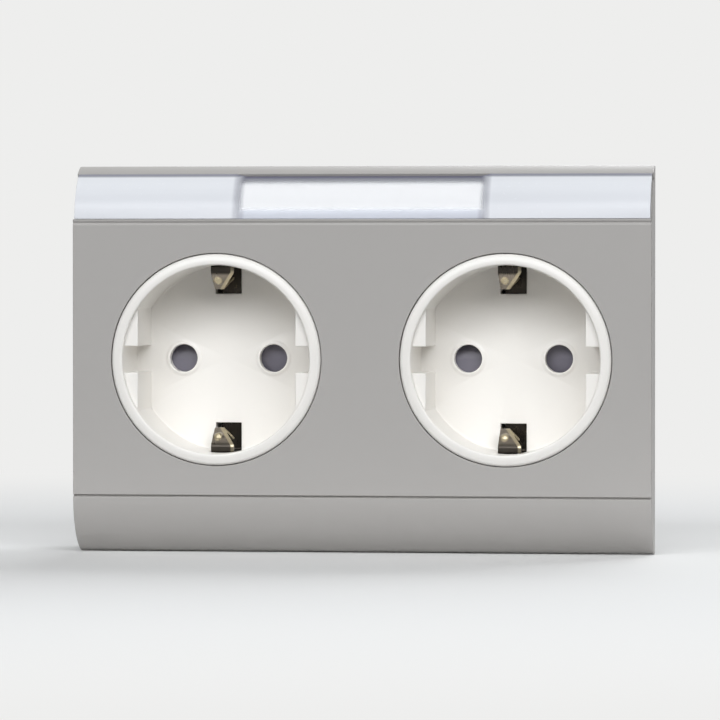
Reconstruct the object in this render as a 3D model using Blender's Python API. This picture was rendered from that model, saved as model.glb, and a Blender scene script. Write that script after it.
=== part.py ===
"""Double earthed wall socket that clips into the mouth of a trunking, as its separate pieces.

X runs along the trunking, Y into the wall and Z up. The origin is the centre of the trunking's mouth,
in the plane that the back edges of the cover sit on, so the face lies at negative Y.
Every length is in metres.
"""
from math import acos, asin, atan, cos, pi, radians, sin, sqrt

import bmesh
import bpy
from mathutils import Matrix, Vector

# Clearances
SEAT_GAP = 0.0003
SLIDE_GAP = 0.0003
FACE_GAP = 0.0004
HOUSING_CLEARANCE = 0.0010

# Round recess of one socket
RECESS_RADIUS = 0.0195
RECESS_DEPTH = 0.0175
RIM_LAND = 0.0023
RIM_STAND = 0.0006
RIM_ROUND = 0.0009
RIM_CHAMFER = 0.0004
POT_WALL = 0.0017
FLOOR_THICKNESS = 0.0025
FLANGE_OVERLAP = 0.0025
FLANGE_THICKNESS = 0.0020
KEY_FLAT_RADIUS = 0.01645
KEY_SETBACK = 0.0013
KEY_NOTCH = 0.0055

# Pins of the plug
PIN_SPACING = 0.0190
PIN_LENGTH = 0.0190
PIN_RADIUS = 0.0024
PIN_HOLE_CLEARANCE = 0.0005
HOLE_BEAD_WIDTH = 0.0006
HOLE_BEAD_HEIGHT = 0.0003

# Earth windows at the top and bottom of the recess
WINDOW_WIDTH = 0.0054
WINDOW_INNER_RADIUS = 0.0135
POCKET_DEPTH = 0.0009
POCKET_HEIGHT = 0.0094

# Cover
WEB_BETWEEN_SOCKETS = 0.0164
END_WEB = 0.0082
FACE_MARGIN = 0.0064
SHOULDER_HEIGHT = 0.0118
SHOULDER_DROP = 0.0088
COVER_DEPTH = 0.0100
FACE_WALL = 0.0022
END_WALL = 0.0020
GROOVE_WIDTH = 0.0004
GROOVE_DEPTH = 0.0006

# Label strip in the upper shoulder
LABEL_LOWER_LAND = 0.0008
LABEL_UPPER_LIP = 0.0016
LABEL_BACK_WALL = 0.0014
WINDOW_STRIP_THICKNESS = 0.0011
LABEL_VIEW_WIDTH = 0.0490
LABEL_VIEW_SINK = 0.0006
LABEL_VIEW_SLOPE = 0.0020
PAPER_THICKNESS = 0.0002
PAPER_END_INSET = 0.0020

# Shutter behind the floor of each recess
SHUTTER_THICKNESS = 0.0021
SHUTTER_COVER = 0.0006
SHUTTER_RAMP = 0.0012
HUB_RADIUS = 0.0044
HUB_PIN_RADIUS = 0.0020
SPRING_WIRE_RADIUS = 0.0002
SPRING_COIL_RADIUS = 0.0008
SPRING_TURNS = 6
SPRING_RIB_ANGLE = radians(80)
SPRING_RIB_WIDTH = 0.0010
SPRING_RIB_LENGTH = 0.0032

# Earth parts
BRACKET_THICKNESS = 0.0006
BRACKET_TOP_ROOM = 0.0008
BRACKET_FOLD_RADIUS = 0.0009
BRACKET_NOSE_RADIUS = 0.0145
BRACKET_NOSE_HEIGHT = 0.0030
BRACKET_TAIL_RADIUS = 0.0168
BRACKET_TAIL_HEIGHT = 0.0009
BRACKET_ARM_WIDTH = 0.0024
BRACKET_DIMPLE_X = -0.0013
BRACKET_DIMPLE_RADIUS = 0.0009
BRACKET_DIMPLE_HEIGHT = 0.0004
EARTH_BAR_THICKNESS = 0.0008
EARTH_BAR_WIDTH = 0.0050
EARTH_BAR_Z = -0.0095
EARTH_BAR_OVERHANG = 0.0035
EARTH_RISER_WIDTH = 0.0040

# Live and neutral bars with a sleeve for each pin
BUSBAR_THICKNESS = 0.0008
BUSBAR_WIDTH = 0.0040
BUSBAR_Z = 0.0090
SLEEVE_BORE_CLEARANCE = 0.0001
SLEEVE_WALL = 0.0006
SLEEVE_SLOT = 0.0010
SLEEVE_COLLAR = 0.0015

# Terminal cells
CELL_WIDTH = 0.0150
CELL_HEIGHT = 0.0090
CELL_WALL = 0.0010
TAB_FROM_WALL = 0.0010
TAB_THICKNESS = 0.0008
TAB_HEIGHT = 0.0060
TAB_END_GAP = 0.0015
WIRE_ENTRY = 0.0044
WIRE_ENTRY_FUNNEL = 0.0005
LEAF_THICKNESS = 0.0004
LEAF_WIDTH = 0.0060
LEAF_BEND = 0.0011
BUTTON_WIDTH = 0.0040
BUTTON_STAND = 0.0018
BUTTON_COLLAR = 0.0006
BUTTON_FROM_ENTRY = 0.0015
BUTTON_EDGE = 0.0004

# Base housing, rear cover and what fastens them
DECK_THICKNESS = 0.0015
HOUSING_WALL = 0.0020
HOUSING_CORNER = 0.0030
COLLAR_WALL = 0.0016
BOSS_RADIUS = 0.0032
BOSS_BACK_Y = 0.0017
POST_RADIUS = 0.0036
REAR_COVER_THICKNESS = 0.0020
REAR_LIP_HEIGHT = 0.0025
REAR_LIP_WALL = 0.0012
PRESS_RIB_WIDTH = 0.0030
SCREW_RADIUS = 0.0014
SCREW_HEAD_RADIUS = 0.0027
SCREW_HEAD_HEIGHT = 0.0018
SCREW_SLOT_WIDTH = 0.0008
SCREW_SLOT_REACH = 0.0019
SCREW_SLOT_DEPTH = 0.0010
SCREW_TIP_MARGIN = 0.0008

# Spring clips that grip the trunking behind its lips
CLIP_WIDTH = 0.0120
CLIP_THICKNESS = 0.0008
CLIP_LEG_START = 0.0060
CLIP_LEG_LENGTH = 0.0160
CLIP_HOOK = 0.0022
CLIP_TIP_Y = 0.0030
CLIP_TIP_INSET = 0.0014
CLIP_LOOP_WIDTH = 0.0026
CLIP_BEND = 0.0010

# Cable clamp on the back
CABLE_ROOM = 0.0080
CLAMP_SCREW_SPACING = 0.0180
CLAMP_FROM_EDGE = 0.0080
CLAMP_BAR_THICKNESS = 0.0025
CLAMP_BAR_WIDTH = 0.0070
CLAMP_POST_RADIUS = 0.0030
CLAMP_SCREW_LENGTH = 0.0085
CLAMP_TOOTH = 0.0008

# Facets of the round forms
RECESS_FACETS = 48
HOLE_FACETS = 20
SMALL_FACETS = 16
COIL_FACETS = 8
ARC_STEPS = 9
BEND_STEPS = 3

# A fold's bends keep to this share of half its width, which leaves a short flat between them
BEND_SHARE = 0.85

# Sizes that follow
RIM_RADIUS = RECESS_RADIUS + RIM_LAND
POT_RADIUS = RECESS_RADIUS + POT_WALL
APERTURE_RADIUS = RIM_RADIUS + FACE_GAP
FLANGE_RADIUS = APERTURE_RADIUS + FLANGE_OVERLAP
SOCKET_X = RIM_RADIUS + WEB_BETWEEN_SOCKETS / 2
HALF_WIDTH = SOCKET_X + RIM_RADIUS + END_WEB
FACE_HALF_HEIGHT = RIM_RADIUS + FACE_MARGIN
HALF_HEIGHT = FACE_HALF_HEIGHT + SHOULDER_HEIGHT
PIN_X = PIN_SPACING / 2
PIN_HOLE_RADIUS = PIN_RADIUS + PIN_HOLE_CLEARANCE
SLEEVE_BORE_RADIUS = PIN_RADIUS + SLEEVE_BORE_CLEARANCE

SHOULDER_END = 2 * atan(SHOULDER_DROP / SHOULDER_HEIGHT)
SHOULDER_RADIUS = SHOULDER_HEIGHT / sin(SHOULDER_END)
CHANNEL_DEPTH = WINDOW_STRIP_THICKNESS + PAPER_THICKNESS + 2 * SEAT_GAP
CHANNEL_START = asin(LABEL_LOWER_LAND / SHOULDER_RADIUS)
CHANNEL_END = asin((SHOULDER_HEIGHT - LABEL_UPPER_LIP) / SHOULDER_RADIUS)
UPPER_WALL = CHANNEL_DEPTH + LABEL_BACK_WALL

# Depths, from the face backwards
FACE_Y = -COVER_DEPTH
FACE_BACK_Y = FACE_Y + FACE_WALL
SHOULDER_CENTRE_Y = FACE_Y + SHOULDER_RADIUS
RIM_Y = FACE_Y - RIM_STAND
FLOOR_Y = RIM_Y + RECESS_DEPTH
FLOOR_BACK_Y = FLOOR_Y + FLOOR_THICKNESS
FLANGE_Y = FACE_BACK_Y + SEAT_GAP
FLANGE_BACK_Y = FLANGE_Y + FLANGE_THICKNESS
HOUSING_FRONT_Y = FLANGE_BACK_Y + SEAT_GAP
SHUTTER_Y = FLOOR_BACK_Y + SLIDE_GAP
SHUTTER_BACK_Y = SHUTTER_Y + SHUTTER_THICKNESS
HUB_PIN_BACK_Y = SHUTTER_BACK_Y + SLIDE_GAP
BRACKET_Y = HUB_PIN_BACK_Y + SEAT_GAP
BRACKET_LEG_Z = RECESS_RADIUS + POCKET_DEPTH - SEAT_GAP - BRACKET_THICKNESS / 2
BRACKET_FOLD_Z = BRACKET_LEG_Z - 2 * BRACKET_FOLD_RADIUS
BRACKET_FOLD_Y = FLOOR_Y - POCKET_HEIGHT + BRACKET_TOP_ROOM + BRACKET_THICKNESS / 2
BRACKET_NOSE_Y = FLOOR_Y - BRACKET_NOSE_HEIGHT
BRACKET_HALF_WIDTH = WINDOW_WIDTH / 2 - SEAT_GAP
EARTH_BAR_Y = BRACKET_Y + BRACKET_THICKNESS + SEAT_GAP
DECK_Y = EARTH_BAR_Y + EARTH_BAR_THICKNESS + SEAT_GAP
DECK_BACK_Y = DECK_Y + DECK_THICKNESS
BUSBAR_Y = DECK_BACK_Y + SEAT_GAP
BUSBAR_BACK_Y = BUSBAR_Y + BUSBAR_THICKNESS
SLEEVE_BACK_Y = FLOOR_Y + PIN_LENGTH + SLIDE_GAP
REAR_Y = SLEEVE_BACK_Y + 2 * SEAT_GAP
REAR_BACK_Y = REAR_Y + REAR_COVER_THICKNESS
HOUSING_BACK_Y = REAR_Y - SEAT_GAP

# Housing, set inside the cover where its front edge meets the upper shoulder's inner wall
INNER_SHOULDER_RADIUS = SHOULDER_RADIUS - UPPER_WALL
INNER_REACH = sqrt(INNER_SHOULDER_RADIUS**2 - (SHOULDER_CENTRE_Y - HOUSING_FRONT_Y) ** 2)
HOUSING_HALF_HEIGHT = FACE_HALF_HEIGHT + INNER_REACH - HOUSING_CLEARANCE
HOUSING_HALF_WIDTH = HALF_WIDTH - END_WALL - HOUSING_CLEARANCE
SCREW_HOLE_RADIUS = SCREW_RADIUS + SEAT_GAP
POST_X = HOUSING_HALF_WIDTH - HOUSING_WALL - BOSS_RADIUS - SEAT_GAP
POST_Z = FACE_HALF_HEIGHT - BOSS_RADIUS - SEAT_GAP

# Places inside one terminal cell, from its centre
CELL_PITCH = CELL_HEIGHT + CELL_WALL
TAB_X = -CELL_WIDTH / 2 + TAB_FROM_WALL
ENTRY_X = TAB_X + TAB_THICKNESS + SEAT_GAP + WIRE_ENTRY / 2
BUTTON_X = ENTRY_X + WIRE_ENTRY / 2 + BUTTON_FROM_ENTRY + BUTTON_WIDTH / 2
BUTTON_FRONT_Y = REAR_Y - SLIDE_GAP - BUTTON_COLLAR * 2

# Cable clamp
CLAMP_Z = -HOUSING_HALF_HEIGHT + CLAMP_FROM_EDGE
CLAMP_POST_BACK_Y = REAR_BACK_Y + CABLE_ROOM
CLAMP_BAR_Y = CLAMP_POST_BACK_Y + SEAT_GAP
CLAMP_BAR_BACK_Y = CLAMP_BAR_Y + CLAMP_BAR_THICKNESS

CUT_MARGIN = 0.001
SMOOTH_BELOW = radians(35)


def colour(red, green, blue):
    """A display colour, 0 to 255 a channel, as Blender's linear colour."""
    channels = []
    for value in (red, green, blue):
        share = value / 255
        channels.append(share / 12.92 if share <= 0.04045 else ((share + 0.055) / 1.055) ** 2.4)
    return (*channels, 1.0)


def material(name, base, roughness, metallic=0.0, alpha=1.0):
    made = bpy.data.materials.new(name)
    made.use_nodes = True
    shader = made.node_tree.nodes["Principled BSDF"]
    shader.inputs["Base Color"].default_value = base
    shader.inputs["Roughness"].default_value = roughness
    shader.inputs["Metallic"].default_value = metallic
    shader.inputs["Alpha"].default_value = alpha
    made.diffuse_color = base
    return made


# Outlines, as lists of two coordinates

def arc(centre, radius, start, end, steps):
    """Points along an arc, both ends included."""
    points = []
    for index in range(steps + 1):
        angle = start + (end - start) * index / steps
        points.append((centre[0] + radius * cos(angle), centre[1] + radius * sin(angle)))
    return points


def circle(radius, facets, centre=(0.0, 0.0)):
    return arc(centre, radius, 0.0, 2 * pi, facets)[:-1]


def rectangle(low_u, high_u, low_v, high_v):
    return [(low_u, low_v), (high_u, low_v), (high_u, high_v), (low_u, high_v)]


def rounded_rectangle(half_u, half_v, corner):
    points = []
    quarters = ((1, 1, 0.0), (-1, 1, pi / 2), (-1, -1, pi), (1, -1, 1.5 * pi))
    for side_u, side_v, start in quarters:
        centre = (side_u * (half_u - corner), side_v * (half_v - corner))
        points += arc(centre, corner, start, start + pi / 2, BEND_STEPS)
    return points


def rounded_path(points, radius):
    """An open path with its inner corners turned into arcs, as a strip of sheet metal is bent."""
    path = [Vector(points[0])]
    for before, corner, after in zip(points, points[1:], points[2:]):
        corner = Vector(corner)
        to_before = (Vector(before) - corner).normalized()
        to_after = (Vector(after) - corner).normalized()
        half_angle = to_before.angle(to_after) / 2
        tangent = radius / sin(half_angle) * cos(half_angle)
        centre = corner + (to_before + to_after).normalized() * (radius / sin(half_angle))
        first = corner + to_before * tangent - centre
        last = corner + to_after * tangent - centre
        for index in range(BEND_STEPS + 1):
            share = index / BEND_STEPS
            path.append(centre + (first * (1 - share) + last * share).normalized() * radius)
    path.append(Vector(points[-1]))
    return [tuple(point) for point in path]


# Solids, as bmeshes

def place(axis, u, v, along):
    """The 3D point of outline coordinates (u, v) on a prism that runs along an axis."""
    if axis == "X":
        return Vector((along, u, v))
    if axis == "Y":
        return Vector((u, along, v))
    return Vector((u, v, along))


def loft(outlines):
    """A closed body through outlines of equally many 3D points, capped at both ends."""
    body = bmesh.new()
    rings = [[body.verts.new(point) for point in outline] for outline in outlines]
    for ring, following in zip(rings, rings[1:]):
        for index in range(len(ring)):
            after = (index + 1) % len(ring)
            body.faces.new((ring[index], ring[after], following[after], following[index]))
    body.faces.new(rings[0])
    body.faces.new(rings[-1])
    bmesh.ops.recalc_face_normals(body, faces=body.faces)
    return body


def prism(outline, axis, start, end):
    """An outline extruded along an axis: (x, z) along Y, (y, z) along X or (x, y) along Z."""
    return loft([[place(axis, u, v, along) for u, v in outline] for along in (start, end)])


def box(low_x, high_x, low_y, high_y, low_z, high_z):
    return prism(rectangle(low_x, high_x, low_z, high_z), "Y", low_y, high_y)


def cylinder(radius, start, end, centre=(0.0, 0.0), facets=SMALL_FACETS):
    return prism(circle(radius, facets, centre), "Y", start, end)


def turned(profile, facets, closed=False):
    """A profile of (radius, y) points spun about the Y axis; a closed one makes a ring."""
    body = bmesh.new()
    verts = [body.verts.new((radius, y, 0.0)) for radius, y in profile]
    edges = [body.edges.new(pair) for pair in zip(verts, verts[1:])]
    if closed:
        edges.append(body.edges.new((verts[-1], verts[0])))
    bmesh.ops.spin(body, geom=verts + edges, cent=(0, 0, 0), axis=(0, 1, 0), angle=2 * pi, steps=facets)
    bmesh.ops.remove_doubles(body, verts=body.verts, dist=1e-6)
    bmesh.ops.recalc_face_normals(body, faces=body.faces)
    return body


def moved(body, x=0.0, y=0.0, z=0.0):
    bmesh.ops.translate(body, verts=body.verts, vec=(x, y, z))
    return body


def together(bodies):
    """Several bmeshes that stand apart, as one."""
    whole = bmesh.new()
    for body in bodies:
        part = bpy.data.meshes.new("part")
        body.to_mesh(part)
        body.free()
        whole.from_mesh(part)
        bpy.data.meshes.remove(part)
    return whole


def mirrored(bodies_of):
    """The bodies that a function of the side makes, for the sides -1 and 1."""
    return together([bodies_of(-1), bodies_of(1)])


# Objects

def finish_mesh(body, name, finish):
    mesh = bpy.data.meshes.new(name)
    body.to_mesh(mesh)
    body.free()
    mesh.materials.append(finish)
    mesh.shade_smooth()
    mesh.set_sharp_from_angle(angle=SMOOTH_BELOW)
    return mesh


def add_object(name, data, parent=None, location=(0.0, 0.0, 0.0), turn=0.0):
    """An object in the scene, turned about its own Y axis."""
    thing = bpy.data.objects.new(name, data)
    bpy.context.collection.objects.link(thing)
    thing.parent = parent
    thing.location = location
    thing.rotation_euler = (0.0, turn, 0.0)
    return thing


def combine(thing, body, operation):
    """The object's mesh united with a bmesh in its own space, or with the bmesh cut out of it."""
    mesh = bpy.data.meshes.new("tool")
    body.to_mesh(mesh)
    body.free()
    tool = add_object("tool", mesh, thing.parent, thing.location, thing.rotation_euler.y)
    modifier = thing.modifiers.new("combine", "BOOLEAN")
    modifier.operation = operation
    modifier.object = tool
    bpy.context.view_layer.update()
    evaluated = thing.evaluated_get(bpy.context.evaluated_depsgraph_get())
    result = bpy.data.meshes.new_from_object(evaluated)
    thing.modifiers.clear()
    old = thing.data
    result.name = thing.name
    thing.data = result
    bpy.data.meshes.remove(old)
    bpy.data.objects.remove(tool)
    bpy.data.meshes.remove(mesh)
    result.shade_smooth()
    result.set_sharp_from_angle(angle=SMOOTH_BELOW)


def weld(thing, body):
    combine(thing, body, "UNION")


def cut(thing, body):
    combine(thing, body, "DIFFERENCE")


def add_sheet(name, path, axis, width, thickness, finish, **placing):
    """A strip bent from sheet along a path, which lies in the plane across the axis."""
    body = bmesh.new()
    sides = []
    for along in (-width / 2, width / 2):
        sides.append([body.verts.new(place(axis, u, v, along)) for u, v in path])
    for index in range(len(path) - 1):
        corners = (sides[0][index], sides[0][index + 1], sides[1][index + 1], sides[1][index])
        body.faces.new(corners)
    strip = add_object(name, finish_mesh(body, name, finish), **placing)
    solidify = strip.modifiers.new("sheet thickness", "SOLIDIFY")
    solidify.thickness = thickness
    solidify.offset = 0.0
    solidify.use_even_offset = True
    return strip


# Front cover and its label

def shoulder_point(angle, inset, side):
    """A point (y, z) on a shoulder's arc, at an angle from the flat face and a depth below the surface."""
    radius = SHOULDER_RADIUS - inset
    return (
        SHOULDER_CENTRE_Y - radius * cos(angle),
        side * (FACE_HALF_HEIGHT + radius * sin(angle)),
    )


def shoulder_arc(start, end, inset, side, steps=ARC_STEPS):
    angles = [start + (end - start) * index / steps for index in range(steps + 1)]
    return [shoulder_point(angle, inset, side) for angle in angles]


def groove(side):
    """The narrow groove between the flat face and a shoulder, from the face outwards."""
    near = side * (FACE_HALF_HEIGHT - GROOVE_WIDTH / 2)
    far = side * (FACE_HALF_HEIGHT + GROOVE_WIDTH / 2)
    return [(FACE_Y, near), (FACE_Y + GROOVE_DEPTH, near), (FACE_Y + GROOVE_DEPTH, far)]


def cover_outline():
    """The cover's section, from its lower back edge over the face to its upper back edge."""
    groove_angle = asin(GROOVE_WIDTH / 2 / SHOULDER_RADIUS)
    lower = shoulder_arc(SHOULDER_END, groove_angle, 0.0, -1)
    land = shoulder_arc(groove_angle, CHANNEL_START, 0.0, 1, 1)
    channel = shoulder_arc(CHANNEL_START, CHANNEL_END, CHANNEL_DEPTH, 1)
    lip = shoulder_arc(CHANNEL_END, SHOULDER_END, 0.0, 1, BEND_STEPS)
    ends = [(0.0, -HALF_HEIGHT)], [(0.0, HALF_HEIGHT)]
    return ends[0] + lower + groove(-1)[::-1] + groove(1) + land + channel + lip + ends[1]


def cavity_outline():
    """The section of the cover's hollow, open at the back."""
    lower = shoulder_arc(SHOULDER_END, 0.0, FACE_WALL, -1)
    upper = shoulder_arc(0.0, SHOULDER_END, UPPER_WALL, 1)
    upper = [(FACE_BACK_Y, FACE_HALF_HEIGHT)] + upper
    return [(CUT_MARGIN, lower[0][1])] + lower + upper + [(CUT_MARGIN, upper[-1][1])]


def corners(make):
    """The bodies that a function makes for each of the four corner screws."""
    return together([make(x, z) for x in (-POST_X, POST_X) for z in (-POST_Z, POST_Z)])


def add_front_cover(finish):
    body = prism(cover_outline(), "X", -HALF_WIDTH, HALF_WIDTH)
    cover = add_object("front_cover", finish_mesh(body, "front_cover", finish))
    cut(cover, prism(cavity_outline(), "X", END_WALL - HALF_WIDTH, HALF_WIDTH - END_WALL))
    half_wall = FACE_WALL / 2
    weld(cover, corners(lambda x, z: cylinder(BOSS_RADIUS, FACE_Y + half_wall, BOSS_BACK_Y, (x, z))))
    cut(cover, corners(lambda x, z: cylinder(SCREW_HOLE_RADIUS, FACE_BACK_Y, BOSS_BACK_Y + CUT_MARGIN, (x, z))))

    def aperture(side):
        centre = (side * SOCKET_X, 0.0)
        return cylinder(APERTURE_RADIUS, FACE_Y - CUT_MARGIN, FACE_BACK_Y + CUT_MARGIN, centre, RECESS_FACETS)

    cut(cover, mirrored(aperture))


def strip_section(along, outer_inset, inner_inset, sink=0.0):
    """The curved section of a strip in the label channel, its outside sunk above a lower slope."""
    edge = SEAT_GAP / SHOULDER_RADIUS
    start, end = CHANNEL_START + edge, CHANNEL_END - edge
    slope_end = start + LABEL_VIEW_SLOPE / SHOULDER_RADIUS
    outline = [shoulder_point(start, outer_inset, 1)]
    outline += shoulder_arc(slope_end, end, outer_inset + sink, 1)
    outline += shoulder_arc(end, start, inner_inset, 1)
    return [place("X", y, z, along) for y, z in outline]


def add_label_window(finish):
    """The clear strip, thinned to a sunk window with sloping ends over the label itself."""
    back = WINDOW_STRIP_THICKNESS
    view_end = LABEL_VIEW_WIDTH / 2
    strip_end = HALF_WIDTH - SEAT_GAP
    stations = [(strip_end, 0.0), (view_end + LABEL_VIEW_SLOPE, 0.0), (view_end, LABEL_VIEW_SINK)]
    sections = [strip_section(-along, 0.0, back, sink) for along, sink in stations]
    sections += [strip_section(along, 0.0, back, sink) for along, sink in reversed(stations)]
    add_object("label_window", finish_mesh(loft(sections), "label_window", finish))


def add_label_paper(finish):
    front = WINDOW_STRIP_THICKNESS + SEAT_GAP
    end = HALF_WIDTH - PAPER_END_INSET
    sections = [strip_section(along, front, front + PAPER_THICKNESS) for along in (-end, end)]
    add_object("label_paper", finish_mesh(loft(sections), "label_paper", finish))


# Socket inserts, modelled round their own axis

def pot_profile():
    """Half the section of the insert, from the middle of its floor over the rim to its back."""
    rim_edge = arc((RIM_RADIUS - RIM_ROUND, RIM_Y + RIM_ROUND), RIM_ROUND, -pi / 2, 0.0, BEND_STEPS)
    return [
        (0.0, FLOOR_Y),
        (RECESS_RADIUS, FLOOR_Y),
        (RECESS_RADIUS, RIM_Y + RIM_CHAMFER),
        (RECESS_RADIUS + RIM_CHAMFER, RIM_Y),
        *rim_edge,
        (RIM_RADIUS, FLANGE_Y),
        (FLANGE_RADIUS, FLANGE_Y),
        (FLANGE_RADIUS, FLANGE_BACK_Y),
        (POT_RADIUS, FLANGE_BACK_Y),
        (POT_RADIUS, FLOOR_BACK_Y),
        (0.0, FLOOR_BACK_Y),
    ]


def key_block(side, half):
    """One half of a side key: a chord of the recess beside the central notch."""
    into_wall = RECESS_RADIUS + POT_WALL / 2
    start = asin(KEY_NOTCH / 2 / into_wall)
    end = acos(KEY_FLAT_RADIUS / into_wall)
    outline = [(KEY_FLAT_RADIUS, KEY_NOTCH / 2)] + arc((0.0, 0.0), into_wall, start, end, BEND_STEPS)
    outline = [(side * x, half * z) for x, z in outline]
    return prism(outline, "Y", RIM_Y + KEY_SETBACK, FLOOR_Y + FLOOR_THICKNESS / 2)


def hole_bead(side):
    """The low bead round one pin hole."""
    outer = PIN_HOLE_RADIUS + HOLE_BEAD_WIDTH
    profile = [
        (PIN_HOLE_RADIUS - HOLE_BEAD_WIDTH, FLOOR_Y + FLOOR_THICKNESS / 2),
        (outer, FLOOR_Y + FLOOR_THICKNESS / 2),
        (outer, FLOOR_Y),
        (PIN_HOLE_RADIUS + HOLE_BEAD_WIDTH / 2, FLOOR_Y - HOLE_BEAD_HEIGHT),
        (PIN_HOLE_RADIUS - HOLE_BEAD_WIDTH, FLOOR_Y - HOLE_BEAD_HEIGHT),
    ]
    return moved(turned(profile, HOLE_FACETS, closed=True), x=side * PIN_X)


def spring_rib():
    """The rib on the back of the floor that the shutter's spring pushes against."""
    rib = box(
        PIN_X - SPRING_RIB_LENGTH / 2,
        PIN_X + SPRING_RIB_LENGTH / 2,
        FLOOR_BACK_Y - FLOOR_THICKNESS / 2,
        SHUTTER_BACK_Y,
        0.0,
        SPRING_RIB_WIDTH,
    )
    bmesh.ops.rotate(rib, verts=rib.verts, matrix=Matrix.Rotation(-SPRING_RIB_ANGLE, 3, "Y"))
    return rib


def earth_opening(side):
    """The window in the floor and the pocket in the wall that one arm of the bracket stands in."""
    low, high = sorted((side * WINDOW_INNER_RADIUS, side * (RECESS_RADIUS + POCKET_DEPTH)))
    half = WINDOW_WIDTH / 2
    return box(-half, half, FLOOR_Y - POCKET_HEIGHT, FLOOR_BACK_Y + CUT_MARGIN, low, high)


def add_socket_inserts(finish, axes):
    body = turned(pot_profile(), RECESS_FACETS)
    first = add_object("socket_insert_left", finish_mesh(body, "socket_insert", finish), axes["left"])
    weld(first, together([key_block(side, half) for side in (-1, 1) for half in (-1, 1)]))
    weld(first, together([hole_bead(-1), hole_bead(1)]))
    floor_middle = FLOOR_Y + FLOOR_THICKNESS / 2
    weld(first, cylinder(HUB_PIN_RADIUS, floor_middle, HUB_PIN_BACK_Y, facets=SMALL_FACETS))
    weld(first, spring_rib())
    cut(first, mirrored(earth_opening))

    def pin_hole(side):
        start, end = FLOOR_Y - CUT_MARGIN, FLOOR_BACK_Y + CUT_MARGIN
        return cylinder(PIN_HOLE_RADIUS, start, end, (side * PIN_X, 0.0), HOLE_FACETS)

    cut(first, mirrored(pin_hole))
    add_object("socket_insert_right", first.data, axes["right"])


# Shutters

WING_HALF_ANGLE = asin((PIN_HOLE_RADIUS + SHUTTER_COVER) / PIN_X)
WING_RADIUS = PIN_X + PIN_HOLE_RADIUS + SHUTTER_COVER


def shutter_outline():
    """Two wings on a round hub, one wing over each pin hole."""
    outline = []
    for middle in (0.0, pi):
        outline += arc((0.0, 0.0), WING_RADIUS, middle - WING_HALF_ANGLE, middle + WING_HALF_ANGLE, ARC_STEPS)
        gap_start = middle + WING_HALF_ANGLE
        outline += arc((0.0, 0.0), HUB_RADIUS, gap_start, middle + pi - WING_HALF_ANGLE, ARC_STEPS)
    return outline


def wing_ramp(side):
    """The wedge cut from a wing's front, so that a pin's tip turns the shutter aside."""
    reach = PIN_HOLE_RADIUS + SHUTTER_COVER + CUT_MARGIN
    outline = [
        (SHUTTER_Y - CUT_MARGIN, -side * reach),
        (SHUTTER_Y + SHUTTER_RAMP, -side * reach),
        (SHUTTER_Y, 0.0),
        (SHUTTER_Y - CUT_MARGIN, 0.0),
    ]
    ends = sorted((side * (HUB_RADIUS + SLIDE_GAP), side * (WING_RADIUS + CUT_MARGIN)))
    return prism(outline, "X", *ends)


def add_shutters(finish, axes):
    body = prism(shutter_outline(), "Y", SHUTTER_Y, SHUTTER_BACK_Y)
    first = add_object("shutter_left", finish_mesh(body, "shutter", finish), axes["left"])
    bore = HUB_PIN_RADIUS + SLIDE_GAP
    cut(first, cylinder(bore, SHUTTER_Y - CUT_MARGIN, SHUTTER_BACK_Y + CUT_MARGIN))
    cut(first, mirrored(wing_ramp))
    add_object("shutter_right", first.data, axes["right"])


def coil_points(start, end, radius, turns):
    """A helix between two points of the plane behind the floor."""
    middle_y = (SHUTTER_Y + SHUTTER_BACK_Y) / 2
    start, end = Vector((start[0], middle_y, start[1])), Vector((end[0], middle_y, end[1]))
    forward = (end - start).normalized()
    across = Vector((0.0, 1.0, 0.0))
    beside = forward.cross(across)
    count = turns * COIL_FACETS
    points = []
    for index in range(count + 1):
        angle = 2 * pi * turns * index / count
        centre = start.lerp(end, index / count)
        points.append(centre + radius * (cos(angle) * across + sin(angle) * beside))
    return points


def add_shutter_springs(finish, axes):
    """A compression spring between each shutter's wing and the rib on the insert."""
    clear = SPRING_WIRE_RADIUS + SEAT_GAP
    first_angle = WING_HALF_ANGLE
    rib_along = Vector((cos(SPRING_RIB_ANGLE), sin(SPRING_RIB_ANGLE)))
    wing_along = Vector((cos(first_angle), sin(first_angle)))
    wing_normal = Vector((-wing_along.y, wing_along.x))
    rib_normal = Vector((rib_along.y, -rib_along.x))
    chord = (rib_along - wing_along).normalized()
    wing_end = wing_along * PIN_X
    rib_end = rib_along * PIN_X
    lean = SPRING_COIL_RADIUS * sqrt(1 - chord.dot(wing_normal) ** 2)
    wing_end += chord * ((clear + lean) / chord.dot(wing_normal))
    rib_end -= chord * ((clear + lean) / abs(chord.dot(rib_normal)))
    curve = bpy.data.curves.new("shutter_spring", "CURVE")
    curve.dimensions = "3D"
    curve.bevel_depth = SPRING_WIRE_RADIUS
    curve.bevel_resolution = 1
    curve.use_fill_caps = True
    points = coil_points(wing_end, rib_end, SPRING_COIL_RADIUS, SPRING_TURNS)
    spline = curve.splines.new("POLY")
    spline.points.add(len(points) - 1)
    for slot, point in zip(spline.points, points):
        slot.co = (*point, 1.0)
    curve.materials.append(finish)
    for side, axis in axes.items():
        add_object(f"shutter_spring_{side}", curve, axis)


# Earth bracket of each socket and the bar that joins them

def bracket_path():
    """The bracket's middle line as (y, z), from its lower to its upper tail."""
    arm = [
        (FLOOR_Y - BRACKET_TAIL_HEIGHT, BRACKET_TAIL_RADIUS),
        (BRACKET_NOSE_Y, BRACKET_NOSE_RADIUS),
        (BRACKET_FOLD_Y, BRACKET_FOLD_Z),
        (BRACKET_FOLD_Y, BRACKET_LEG_Z),
        (BRACKET_Y + BRACKET_THICKNESS / 2, BRACKET_LEG_Z),
    ]
    lower = [(y, -z) for y, z in arm]
    return rounded_path(lower + arm[::-1], BRACKET_FOLD_RADIUS * BEND_SHARE)


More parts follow.
